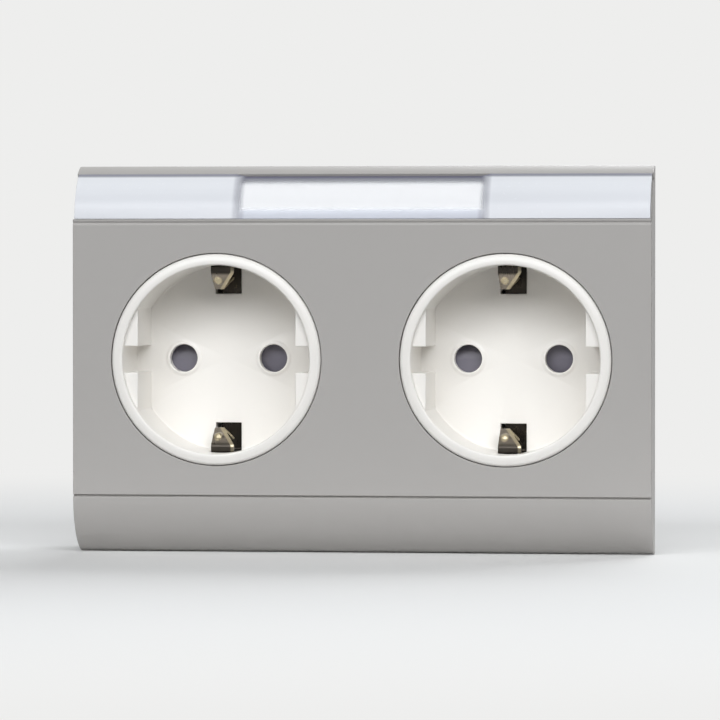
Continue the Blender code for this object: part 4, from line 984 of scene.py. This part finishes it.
def pot_profile():
    """Half the section of an insert, from the middle of its floor over the rim to its back."""
    sizes = settings().insert
    rim_y, floor = packed_box("socket_insert_left")[0].y, floor_y()
    flange_radius = span("socket_insert_left", "x")[1]
    flange_y = face_y() + settings().cover.face_wall + settings().cover.seat_gap
    flange_end = flange_y + sizes.flange_thickness
    rim_radius = sizes.recess_radius + sizes.rim_land
    inner, fillet = sizes.recess_radius, sizes.rim_chamfer
    pot_radius = inner + sizes.pot_wall
    back = floor + sizes.floor_thickness
    profile = [(0.0, floor)]
    profile += arc((inner - fillet, floor - fillet), fillet, pi / 2, 0.0, FILLET_STEPS)
    profile += arc((inner + fillet, rim_y + fillet), fillet, pi, 1.5 * pi, FILLET_STEPS)
    centre = (rim_radius - sizes.rim_round, rim_y + sizes.rim_round + sizes.rim_crease)
    profile.append((centre[0] - 2 * sizes.rim_crease, rim_y))
    profile += arc(centre, sizes.rim_round, -pi / 2, 0.0, BEND_STEPS)
    profile += [(rim_radius, flange_y), (flange_radius, flange_y)]
    profile += [(flange_radius, flange_end), (pot_radius, flange_end), (pot_radius, back)]
    return profile + [(0.0, back)]


def key_land(side, half):
    """One half of a side key: a chord of the recess beside the central notch."""
    sizes = settings().insert
    into_wall = sizes.recess_radius + sizes.pot_wall / 2
    start = asin(sizes.key_notch / 2 / into_wall)
    end = acos(sizes.key_flat_radius / into_wall)
    outline = [(sizes.key_flat_radius, sizes.key_notch / 2)]
    outline += arc((0.0, 0.0), into_wall, start, end, ARC_STEPS // 2)
    outline = [(side * x, half * z) for x, z in outline]
    front = packed_box("socket_insert_left")[0].y + sizes.key_setback
    return prism(outline, "Y", front, floor_y() + sizes.floor_thickness / 2)


# Depth of a bead's foot and of a sleeve's end in the floor, so that no faces lie in one plane
BEAD_FOOT = 20 * MERGE_DISTANCE
SLEEVE_INSET = CUT_MARGIN / 4


def pin_sleeve(side):
    """The wall of one pin hole, with its rounded bead on the floor."""
    sizes, edge = settings().insert, settings().cover.edge_round
    hole, top = sizes.pin_hole_radius, floor_y() - sizes.bead_height
    land, foot = hole + sizes.bead_width / 3, hole + sizes.bead_width * 4 / 3
    middle = floor_y() + sizes.floor_thickness / 2
    back = floor_y() + sizes.floor_thickness - SLEEVE_INSET
    profile = [(hole + sizes.bead_width, back), (hole, back)]
    profile += arc((hole + edge, top + edge), edge, pi, 1.5 * pi, FILLET_STEPS)
    for part in spread(0.0, 1.0, BEND_STEPS):
        rise = sizes.bead_height * (1 + cos(pi * part)) / 2 - BEAD_FOOT * part
        profile.append((land + (foot - land) * part, floor_y() - rise))
    profile += [(foot, middle), (hole + sizes.bead_width, middle)]
    return moved(lathe(profile, HOLE_STEPS, closed=True), x=side * sizes.pin_spacing / 2)


def earth_opening(side):
    """The window in the floor and the pocket in the wall round one arm of the earth bracket."""
    sizes = settings().insert
    ends = (side * sizes.window_inner_radius, side * (sizes.recess_radius + sizes.pocket_depth))
    half = sizes.window_width / 2
    back = floor_y() + sizes.floor_thickness + CUT_MARGIN
    return box(-half, half, floor_y() - sizes.pocket_height, back, min(ends), max(ends))


class WALLSOCKET_OT_socket_inserts(bpy.types.Operator):
    """Builds the two white inserts with their keys, pin holes and earth windows"""

    bl_idname = "wall_socket.socket_inserts"
    bl_label = "Socket Inserts"

    def execute(self, context):
        sizes = settings().insert
        pot = add_piece("socket_pot_left", lathe(pot_profile(), ROUND_STEPS))
        weld(pot, together([key_land(side, half) for side in (-1, 1) for half in (-1, 1)]))
        back = floor_y() + sizes.floor_thickness
        ends = (floor_y() - CUT_MARGIN, back + CUT_MARGIN)
        middle, bore = sizes.pin_spacing / 2, sizes.pin_hole_radius + sizes.bead_width / 2
        cut(pot, together([cylinder(bore, *ends, (x, 0.0)) for x in (-middle, middle)]))
        weld(pot, on_both_sides(pin_sleeve))
        pin_end = packed_box("socket_insert_left")[1].y
        weld(pot, cylinder(sizes.hub_pin_radius, back - sizes.floor_thickness / 2, pin_end))
        half = sizes.rib_half_length
        rib_ends = (back - sizes.floor_thickness / 2, packed_box("shutter_left")[1].y)
        rib = box(middle - half, middle + half, *rib_ends, 0.0, sizes.rib_thickness)
        rib.transform(Matrix.Rotation(-sizes.rib_angle, 4, "Y"))
        weld(pot, rib)
        cut(pot, on_both_sides(earth_opening))
        for piece, side in zip((pot, add_object("socket_pot_right", pot.data.copy())), SIDES):
            to_socket(piece, side)
            dress(piece, "insert_plastic", f"socket_insert_{side}")
        return {"FINISHED"}


# Shutters

def shutter_outline(wing_radius, half_angle):
    hub = settings().insert.hub_radius
    outline = []
    for middle in (0.0, pi):
        outline += arc((0.0, 0.0), wing_radius, middle - half_angle, middle + half_angle, ARC_STEPS)
        outline += arc((0.0, 0.0), hub, middle + half_angle, middle + pi - half_angle, ARC_STEPS)
    return outline


class WALLSOCKET_OT_shutters(bpy.types.Operator):
    """Builds the two turning shutters behind the pin holes"""

    bl_idname = "wall_socket.shutters"
    bl_label = "Shutters"

    def execute(self, context):
        sizes = settings().insert
        low, high = packed_box("shutter_left")
        wing_radius, gap = span("shutter_left", "x")[1], settings().cover.seat_gap
        covered = sizes.pin_hole_radius + sizes.shutter_cover
        half_angle = asin(covered / (sizes.pin_spacing / 2))
        bore = sizes.hub_pin_radius + gap
        for side in SIDES:
            outline = shutter_outline(wing_radius, half_angle)
            shutter = add_piece(f"shutter_disc_{side}", prism(outline, "Y", low.y, high.y))
            cut(shutter, cylinder(bore, low.y - CUT_MARGIN, high.y + CUT_MARGIN))
            ramps = []
            for wing in (-1, 1):
                reach = -wing * (covered + CUT_MARGIN)
                ramp = [(low.y - CUT_MARGIN, reach), (low.y + sizes.shutter_ramp, reach)]
                ramp += [(low.y, 0.0), (low.y - CUT_MARGIN, 0.0)]
                ends = sorted((wing * (sizes.hub_radius + gap), wing * (wing_radius + CUT_MARGIN)))
                ramps.append(prism(ramp, "X", *ends))
            cut(shutter, together(ramps))
            to_socket(shutter, side)
            dress(shutter, "shutter_plastic", f"shutter_{side}", body=f"shutter_{side}")
        return {"FINISHED"}


# Earth brackets

def arm_taper():
    """Where an arm's taper starts and ends along Z, and its right edge at both places."""
    sizes, half = settings().metal, span("earth_bracket_left", "x")[1]
    high = packed_box("earth_bracket_left")[1]
    fold_z = high.z - sizes.bracket_thickness / 2 - 2 * sizes.bracket_fold
    return fold_z, sizes.nose_radius, half, sizes.arm_width - half


def bracket_path():
    """The bracket's middle line as (y, z), from its lower to its upper tail."""
    sizes = settings().metal
    low, high = packed_box("earth_bracket_left")
    half = sizes.bracket_thickness / 2
    leg_z, fold_y, base_y = high.z - half, low.y + half, high.y - half
    arm = [
        (floor_y() - sizes.tail_height, sizes.tail_radius),
        (floor_y() - sizes.nose_height, sizes.nose_radius),
        (fold_y, leg_z - 2 * sizes.bracket_fold),
        (fold_y, leg_z),
        (base_y, leg_z),
    ]
    lower = [(y, -z) for y, z in arm]
    path = rounded_path(lower + arm[::-1], sizes.bracket_fold * TIGHT_BEND)
    return spaced(path, settings().insert.window_width / FINE_COLUMNS)


class WALLSOCKET_OT_earth_brackets(bpy.types.Operator):
    """Builds the bent earth brackets with their tapered, dimpled arms"""

    bl_idname = "wall_socket.earth_brackets"
    bl_label = "Earth Brackets"

    def execute(self, context):
        sizes = settings().metal
        fold_z, nose_z, half, nose_x = arm_taper()
        nose_y = floor_y() - sizes.nose_height
        fold_y = packed_box("earth_bracket_left")[0].y + sizes.bracket_thickness / 2
        middle = Vector((sizes.dimple_x, (fold_y + nose_y) / 2, (fold_z + nose_z) / 2))
        towards = Vector((0.0, fold_z - nose_z, nose_y - fold_y)).normalized()

        def right_edge(point):
            if point.x > floor_y():
                return half
            taper = (fold_z - abs(point.y)) / (fold_z - nose_z)
            return half + (nose_x - half) * min(max(taper, 0.0), 1.0)

        def press_dimples(body):
            for vert in body.verts:
                mirror = Vector((1.0, 1.0, copysign(1.0, vert.co.z)))
                away = (vert.co - middle * mirror).length / sizes.dimple_radius
                if away < 1.0:
                    vert.co -= towards * mirror * sizes.dimple_height * (cos(pi * away) + 1) / 2

        edges, thickness = (lambda point: -half, right_edge), sizes.bracket_thickness
        for side in SIDES:
            name, node = f"earth_spring_{side}", f"earth_bracket_{side}"
            bracket = bent_sheet(name, bracket_path(), *edges, thickness, press_dimples)
            to_socket(bracket, side)
            dress(bracket, "spring_steel", node, look="bracket_steel", rounding=0.5, segments=2)
        return {"FINISHED"}


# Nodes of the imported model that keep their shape

@cache
def smooth_group():
    """A node group that shades a mesh smooth and keeps its edges above an angle sharp."""
    group = bpy.data.node_groups.new("smooth below angle", "GeometryNodeTree")
    for way in ("INPUT", "OUTPUT"):
        group.interface.new_socket("Geometry", in_out=way, socket_type="NodeSocketGeometry")
    nodes = Nodes(group)
    start = nodes.add("NodeGroupInput")
    angle = nodes.add("GeometryNodeInputMeshEdgeAngle", output="Unsigned Angle")
    values = {0: angle, 1: SMOOTH_BELOW}
    steep = nodes.add("FunctionNodeCompare", {"operation": "GREATER_THAN"}, values, "Result")
    faces = nodes.add("GeometryNodeSetShadeSmooth", {"domain": "FACE"}, {"Geometry": start})
    values = {"Geometry": faces, "Selection": steep, "Shade Smooth": False}
    edges = nodes.add("GeometryNodeSetShadeSmooth", {"domain": "EDGE"}, values)
    nodes.add("NodeGroupOutput", None, {0: edges})
    return group


def dress_node(name, look, rounded=False):
    """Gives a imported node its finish, smooth round forms and lightly rounded edges."""
    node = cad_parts[name]
    paint(node, look)
    node.modifiers.new("merged points", "WELD").merge_threshold = MERGE_DISTANCE
    node.modifiers.new("smooth", "NODES").node_group = smooth_group()
    if rounded:
        round_edges(node, segments=2)


class WALLSOCKET_OT_housing(bpy.types.Operator):
    """Finishes the base housing, the rear cover and the cable clamp's bar"""

    bl_idname = "wall_socket.housing"
    bl_label = "Housing"

    def execute(self, context):
        for name in ("base_housing", "rear_cover", "cable_clamp_bar"):
            dress_node(name, "housing_plastic", rounded=True)
        return {"FINISHED"}


class WALLSOCKET_OT_contacts(bpy.types.Operator):
    """Finishes the brass bars with their sleeves and tabs"""

    bl_idname = "wall_socket.contacts"
    bl_label = "Contacts"

    def execute(self, context):
        for name in ("earth_bar", "live_busbar", "neutral_busbar"):
            dress_node(name, "brass")
        return {"FINISHED"}


# Springs

def coiled_wire(start, end, coil_radius, wire_radius, turns):
    """A coil spring between two points, its end turns closed up."""
    along = (end - start).normalized()
    across = Vector((0.0, 1.0, 0.0))
    beside = along.cross(across)
    closed_length = CLOSED_TURNS * 2 * wire_radius
    open_length = (end - start).length - 2 * closed_length
    open_turns = turns - 2 * CLOSED_TURNS
    wire = circle(wire_radius, WIRE_STEPS)
    rings = []
    for turn in spread(0.0, turns, turns * COIL_STEPS):
        opened = min(max((turn - CLOSED_TURNS) / open_turns, 0.0), 1.0)
        shut = min(turn, CLOSED_TURNS) + min(max(turn - turns + CLOSED_TURNS, 0.0), CLOSED_TURNS)
        outwards = cos(2 * pi * turn) * across + sin(2 * pi * turn) * beside
        painted_rise_and_streaks = opened * open_length + shut * 2 * wire_radius
        centre = start + along * painted_rise_and_streaks + outwards * coil_radius
        rings.append([centre + out * outwards + up * along for out, up in wire])
    return loft(rings)


class WALLSOCKET_OT_shutter_springs(bpy.types.Operator):
    """Builds the coil springs that close the shutters"""

    bl_idname = "wall_socket.shutter_springs"
    bl_label = "Shutter Springs"

    def execute(self, context):
        sizes, insert = settings().metal, settings().insert
        pin_x = insert.pin_spacing / 2
        low, high = packed_box("shutter_left")
        middle_y = (low.y + high.y) / 2
        wing_angle = asin((insert.pin_hole_radius + insert.shutter_cover) / pin_x)
        clear = sizes.coil_wire + settings().cover.seat_gap
        wing, rib = (Vector((cos(turn), 0.0, sin(turn))) for turn in (wing_angle, insert.rib_angle))
        wing_normal = Vector((-wing.z, 0.0, wing.x))
        rib_normal = Vector((rib.z, 0.0, -rib.x))
        chord = (rib - wing).normalized()
        lean = sizes.coil_radius * (1 - chord.dot(wing_normal) ** 2) ** 0.5
        start = wing * pin_x + chord * ((clear + lean) / chord.dot(wing_normal))
        end = rib * pin_x - chord * ((clear + lean) / abs(chord.dot(rib_normal)))
        for side in SIDES:
            place = Vector((socket_x(side), middle_y, 0.0))
            ends = (start + place, end + place)
            body = coiled_wire(*ends, sizes.coil_radius, sizes.coil_wire, sizes.coil_turns)
            spring = add_piece(f"coil_spring_{side}", body)
            dress(spring, "spring_steel", f"shutter_spring_{side}", rounding=0.0)
            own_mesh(spring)
        return {"FINISHED"}


def leaf_path(low, high):
    """A clamp spring's middle line as (y, x): up the wall, round a bend and down to the tab."""
    sizes = settings().metal
    half = sizes.leaf_thickness / 2
    wall_x, tip_x = high.x - half, low.x + half
    bend_y, foot_y = high.y - half, low.y
    points = [(foot_y, wall_x), (bend_y, wall_x)]
    points += [(bend_y, wall_x - 2 * sizes.leaf_bend), (foot_y, tip_x)]
    return spaced(rounded_path(points, sizes.leaf_bend * TIGHT_BEND), sizes.leaf_thickness)


class WALLSOCKET_OT_terminal_springs(bpy.types.Operator):
    """Builds the leaf springs that clamp the wires"""

    bl_idname = "wall_socket.terminal_springs"
    bl_label = "Terminal Springs"

    def execute(self, context):
        sizes = settings().metal
        narrowing = 0.22
        for pole in POLES:
            node = f"terminal_spring_{pole}"
            low, high = packed_box(node)
            middle, half = span(node, "z")
            turn = high.x - 2 * sizes.leaf_bend

            def edge(point):
                """The leaf's half width, which narrows towards its clamping edge."""
                past_bend = max(0.0, turn - point.y) / (turn - low.x)
                return half * (1 - narrowing * past_bend)

            edges = (lambda point: -middle - edge(point), lambda point: -middle + edge(point))
            name, path = f"leaf_spring_{pole}", leaf_path(low, high)
            leaf = bent_sheet(name, path, *edges, sizes.leaf_thickness)
            leaf.data.transform(Matrix.Rotation(pi / 2, 4, "Y"))
            dress(leaf, "spring_steel", node, rounding=0.5, segments=2)
            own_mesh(leaf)
        return {"FINISHED"}


class WALLSOCKET_OT_release_buttons(bpy.types.Operator):
    """Finishes the three release buttons"""

    bl_idname = "wall_socket.release_buttons"
    bl_label = "Release Buttons"

    def execute(self, context):
        for pole in POLES:
            dress_node(f"release_button_{pole}", "button_plastic", rounded=True)
        return {"FINISHED"}


def clip_leg_z():
    """Height of the upper clips' legs on the housing."""
    hook_z = min(abs(corner.z) for corner in packed_box("trunk_clip_upper_left"))
    return hook_z + settings().metal.clip_hook


def clip_path(edge):
    """A clip's middle line as (y, z): hook, leg on the housing, loop and spring tongue."""
    sizes = settings().metal
    leg_z, leg_end = clip_leg_z(), sizes.clip_leg_start + sizes.clip_leg_length
    tip_z = half_size()[1] - sizes.clip_tip_inset
    points = [
        (sizes.clip_leg_start, leg_z - sizes.clip_hook),
        (sizes.clip_leg_start, leg_z),
        (leg_end, leg_z),
        (leg_end, leg_z + sizes.clip_loop),
        (sizes.clip_tip_y + sizes.clip_thickness, tip_z),
        (sizes.clip_tip_y + sizes.clip_thickness / 2, tip_z - sizes.clip_hook),
    ]
    path = spaced(rounded_path(points, sizes.clip_bend), sizes.clip_thickness)
    side = 1 if edge == "upper" else -1
    return [Vector((point.x, side * point.y)) for point in path]


class WALLSOCKET_OT_trunk_clips(bpy.types.Operator):
    """Builds the four spring clips that hold the unit in its trunking"""

    bl_idname = "wall_socket.trunk_clips"
    bl_label = "Trunk Clips"

    def execute(self, context):
        sizes = settings().metal
        leg_z, corner, corner_share = clip_leg_z(), sizes.clip_hook, 0.6
        start_y = sizes.clip_tip_y + 3 * sizes.clip_hook
        end_y = sizes.clip_leg_start + sizes.clip_leg_length - 2 * sizes.clip_hook
        for edge, side in product(("upper", "lower"), SIDES):
            node = f"trunk_clip_{edge}_{side}"
            middle, half = span(node, "x")

            def edge_half(point):
                """Half the width, which narrows in an arc at the bent tip."""
                past = leg_z + sizes.clip_loop - abs(point.y)
                from_tip = point.x - sizes.clip_tip_y
                if past > 0 or from_tip > corner:
                    return half
                part = min(max(1 - from_tip / corner, 0.0), 1.0)
                return half - corner * (1 - (1 - part**2) ** 0.5) * corner_share

            def press_rib(body):
                for vert in body.verts:
                    on_tongue = abs(vert.co.z) > leg_z + sizes.clip_loop / 2
                    if on_tongue and start_y < vert.co.y < end_y:
                        along = sin(pi * (vert.co.y - start_y) / (end_y - start_y)) ** 0.5
                        across = max(0.0, 1 - ((vert.co.x - middle) / (half / 3)) ** 2)
                        vert.co.z -= copysign(sizes.clip_rib, vert.co.z) * along * across

            clip = bent_sheet(
                f"spring_clip_{edge}_{side}",
                clip_path(edge),
                lambda point: middle - edge_half(point),
                lambda point: middle + edge_half(point),
                sizes.clip_thickness,
                press_rib,
                FINE_COLUMNS,
            )
            dress(clip, "zinc_steel", node, segments=2)
        return {"FINISHED"}


# Screws, modelled along Y with the seat of the head at the origin

def head_profile(radius, height):
    """Half the section of a pan head, from the shank's root over the dome to the axis."""
    wall, fullness = height * 0.35, 0.6
    profile = [(settings().metal.screw_radius, 0.0), (radius, 0.0), (radius, wall)]
    for index in range(1, BEND_STEPS):
        angle = pi / 2 * index / BEND_STEPS
        profile.append((radius * cos(angle) ** fullness, wall + (height - wall) * sin(angle)))
    return profile + [(0.0, height)]


def threaded_body(shank, head_radius, head_height):
    """A screw's whole body: a pointed, threaded shank and a pan head, as one closed surface."""
    sizes = settings().metal
    flank, tip_ridge, tip_radius, tip_turns = 3.2, 0.2, 0.55, 3
    root = sizes.screw_radius - sizes.thread_height
    rows = int(shank / sizes.thread_pitch * ROWS_A_PITCH)
    rings = []
    for row in range(rows + 1):
        y = shank * row / rows - shank
        from_tip = (y + shank) / (tip_turns * sizes.thread_pitch)
        narrowed = min(1.0, tip_radius + (1 - tip_radius) * from_tip)
        faded = min(1.0, -y / sizes.thread_pitch, tip_ridge + from_tip)
        ring = []
        for index in range(SCREW_STEPS):
            turn = index / SCREW_STEPS
            phase = (y / sizes.thread_pitch + turn) % 1.0
            ridge = max(0.0, 1 - abs(phase - 0.5) * flank) * faded
            radius = (root + 2 * sizes.thread_height * ridge) * narrowed
            ring.append((radius * cos(2 * pi * turn), y, radius * sin(2 * pi * turn)))
        rings.append(ring)
    for radius, y in head_profile(head_radius, head_height):
        rings.append([(x, y, z) for x, z in circle(radius, SCREW_STEPS)])
    body = loft(rings)
    merge_points(body)
    return body


def cross_cut(head_height):
    """The cross in a screw's head, whose wings slope in towards its bottom."""
    sizes, bottom_reach, least_width = settings().metal, 0.55, 0.7
    ends = ((head_height - sizes.slot_depth, bottom_reach), (head_height + CUT_MARGIN, 1.0))
    levels = []
    for y, part in ends:
        half = sizes.slot_width / 2 * (least_width + (1 - least_width) * part)
        reach = sizes.slot_reach * part
        outline = [(half, half), (half, reach), (-half, reach), (-half, half)]
        outline += [(-reach, half), (-reach, -half), (-half, -half), (-half, -reach)]
        outline += [(half, -reach), (half, -half), (reach, -half), (reach, half)]
        levels.append([at("Y", u, v, y) for u, v in outline])
    return loft(levels)


class WALLSOCKET_OT_screws(bpy.types.Operator):
    """Builds the four housing screws and the two screws of the cable clamp"""

    bl_idname = "wall_socket.screws"
    bl_label = "Screws"

    def execute(self, context):
        names = {f"housing_screw_{number}": f"pan_screw_{number}" for number in range(1, 5)}
        names.update({f"cable_clamp_screw_{side}": f"clamp_screw_{side}" for side in SIDES})
        turn_step = radians(23)
        for count, (node, name) in enumerate(names.items(), start=1):
            low, high = packed_box(node)
            (x, head_radius), (z, _) = span(node, "x"), span(node, "z")
            head_height = head_radius * 2 / 3
            seat = high.y - head_height
            screw = add_piece(name, threaded_body(seat - low.y, head_radius, head_height))
            cut(screw, cross_cut(head_height))
            turned = Matrix.Rotation(turn_step * count, 4, "Y")
            screw.data.transform(Matrix.Translation((x, seat, z)) @ turned)
            dress(screw, "zinc_steel", node, rounding=0.0)
        return {"FINISHED"}


# Stage

def aim(holder, place, direction):
    holder.location = place
    holder.rotation_mode = "QUATERNION"
    holder.rotation_quaternion = direction.to_track_quat("-Z", "Y")


def add_lamp(name, energy, size, offset, centre):
    lamp = bpy.data.lights.new(name, "AREA")
    lamp.color = settings().stage.lamp_colour
    lamp.shape = "RECTANGLE"
    lamp.size, lamp.size_y = size
    lamp.energy = energy
    place = centre + Vector(offset)
    aim(add_object(name, lamp), place, centre - place)


class WALLSOCKET_OT_stage(bpy.types.Operator):
    """Sets up the pale floor, the soft light and the camera"""

    bl_idname = "wall_socket.stage"
    bl_label = "Stage"

    def execute(self, context):
        stage = settings().stage
        backdrop = shaded(stage.backdrop)
        scene = context.scene
        scene.view_settings.view_transform = "Standard"

        studio = Recipe("soft studio", world=True)
        studio.set(color=shaded(stage.sky_colour), strength=stage.ambient)
        seen = studio.add("ShaderNodeBackground", None, {"Color": backdrop})
        studio.mix_surface(studio.seen_rays(), studio.shader.outputs[0], seen)
        scene.world = studio.owner

        floor_mesh = bmesh.new()
        bmesh.ops.create_circle(floor_mesh, cap_ends=True, radius=FLOOR_RADIUS, segments=HOLE_STEPS)
        floor = add_piece("floor", moved(floor_mesh, z=CAD_BOX[0].z - FLOOR_DROP))
        recipe = Recipe("pale floor")
        centre = (CAD_BOX[0] + CAD_BOX[1]) / 2
        reach = (CAD_BOX[1] - CAD_BOX[0]) / 2
        beside = [
            abs(recipe.axis(name) - middle) - half
            for name, middle, half in zip("XY", centre, reach)
        ]
        far = recipe.band(beside[0].larger(beside[1]), stage.bounce_reach, 2 * stage.bounce_reach)
        dark_share, seen = 0.06, recipe.seen_rays()
        shades = (shaded(stage.floor), shaded(stage.floor, dark_share))
        recipe.set(base_color=recipe.blend(far * (1 - seen), *shades), roughness=0.9)
        setup, values = {"operation": "LENGTH"}, {0: recipe.place}
        distance = recipe.add("ShaderNodeVectorMath", setup, values, "Value")
        glow = recipe.add("ShaderNodeEmission", None, {"Color": backdrop})
        faded = seen * recipe.band(distance, *FLOOR_FADE)
        recipe.mix_surface(faded, recipe.shader.outputs[0], glow)
        floor.data.materials.append(recipe.owner)

        add_lamp("key lamp", stage.key_power, *KEY_LAMP, centre)
        add_lamp("top lamp", stage.top_power, *TOP_LAMP, centre)
        add_lamp("rear lamp", stage.key_power * REAR_SHARE, *REAR_LAMP, centre)

        camera = add_object("camera", bpy.data.cameras.new("camera"))
        turn, rise = stage.camera_azimuth, stage.camera_elevation
        back = Vector((sin(turn) * cos(rise), -cos(turn) * cos(rise), sin(rise)))
        target = Vector((0.0, face_y(), 0.0))
        aim(camera, target + back * stage.camera_distance, -back)
        camera.data.lens = camera.data.sensor_width * stage.camera_distance / stage.picture_width
        camera.data.clip_start = 0.01
        scene.camera = camera
        return {"FINISHED"}


OPERATORS = (
    WALLSOCKET_OT_front_cover,
    WALLSOCKET_OT_label,
    WALLSOCKET_OT_socket_inserts,
    WALLSOCKET_OT_shutters,
    WALLSOCKET_OT_earth_brackets,
    WALLSOCKET_OT_housing,
    WALLSOCKET_OT_contacts,
    WALLSOCKET_OT_shutter_springs,
    WALLSOCKET_OT_terminal_springs,
    WALLSOCKET_OT_release_buttons,
    WALLSOCKET_OT_trunk_clips,
    WALLSOCKET_OT_screws,
    WALLSOCKET_OT_stage,
)


class WALLSOCKET_PT_unit(bpy.types.Panel):
    """Lists the unit's pieces in the order in which they are built."""

    bl_idname = "WALLSOCKET_PT_unit"
    bl_label = "Double Wall Socket Unit"
    bl_space_type = "VIEW_3D"
    bl_region_type = "UI"
    bl_category = "Wall Socket"

    def draw(self, context):
        for operator in OPERATORS:
            self.layout.operator(operator.bl_idname)


SIZE_GROUPS = (CoverSizes, InsertSizes, MetalSizes)
PROPERTY_GROUPS = SIZE_GROUPS + (FinishColours, StageSettings, WallSocketSettings)
CLASSES = PROPERTY_GROUPS + OPERATORS + (WALLSOCKET_PT_unit,)


def register():
    for made in CLASSES:
        bpy.utils.register_class(made)
    bpy.types.Scene.wall_socket = PointerProperty(type=WallSocketSettings)


def unregister():
    del bpy.types.Scene.wall_socket
    for made in reversed(CLASSES):
        bpy.utils.unregister_class(made)


def main():
    register()
    bpy.ops.wall_socket.front_cover()
    bpy.ops.wall_socket.label()
    bpy.ops.wall_socket.socket_inserts()
    bpy.ops.wall_socket.shutters()
    bpy.ops.wall_socket.earth_brackets()
    bpy.ops.wall_socket.housing()
    bpy.ops.wall_socket.contacts()
    bpy.ops.wall_socket.shutter_springs()
    bpy.ops.wall_socket.terminal_springs()
    bpy.ops.wall_socket.release_buttons()
    bpy.ops.wall_socket.trunk_clips()
    bpy.ops.wall_socket.screws()
    bpy.ops.wall_socket.stage()


if __name__ == "__main__":
    main()
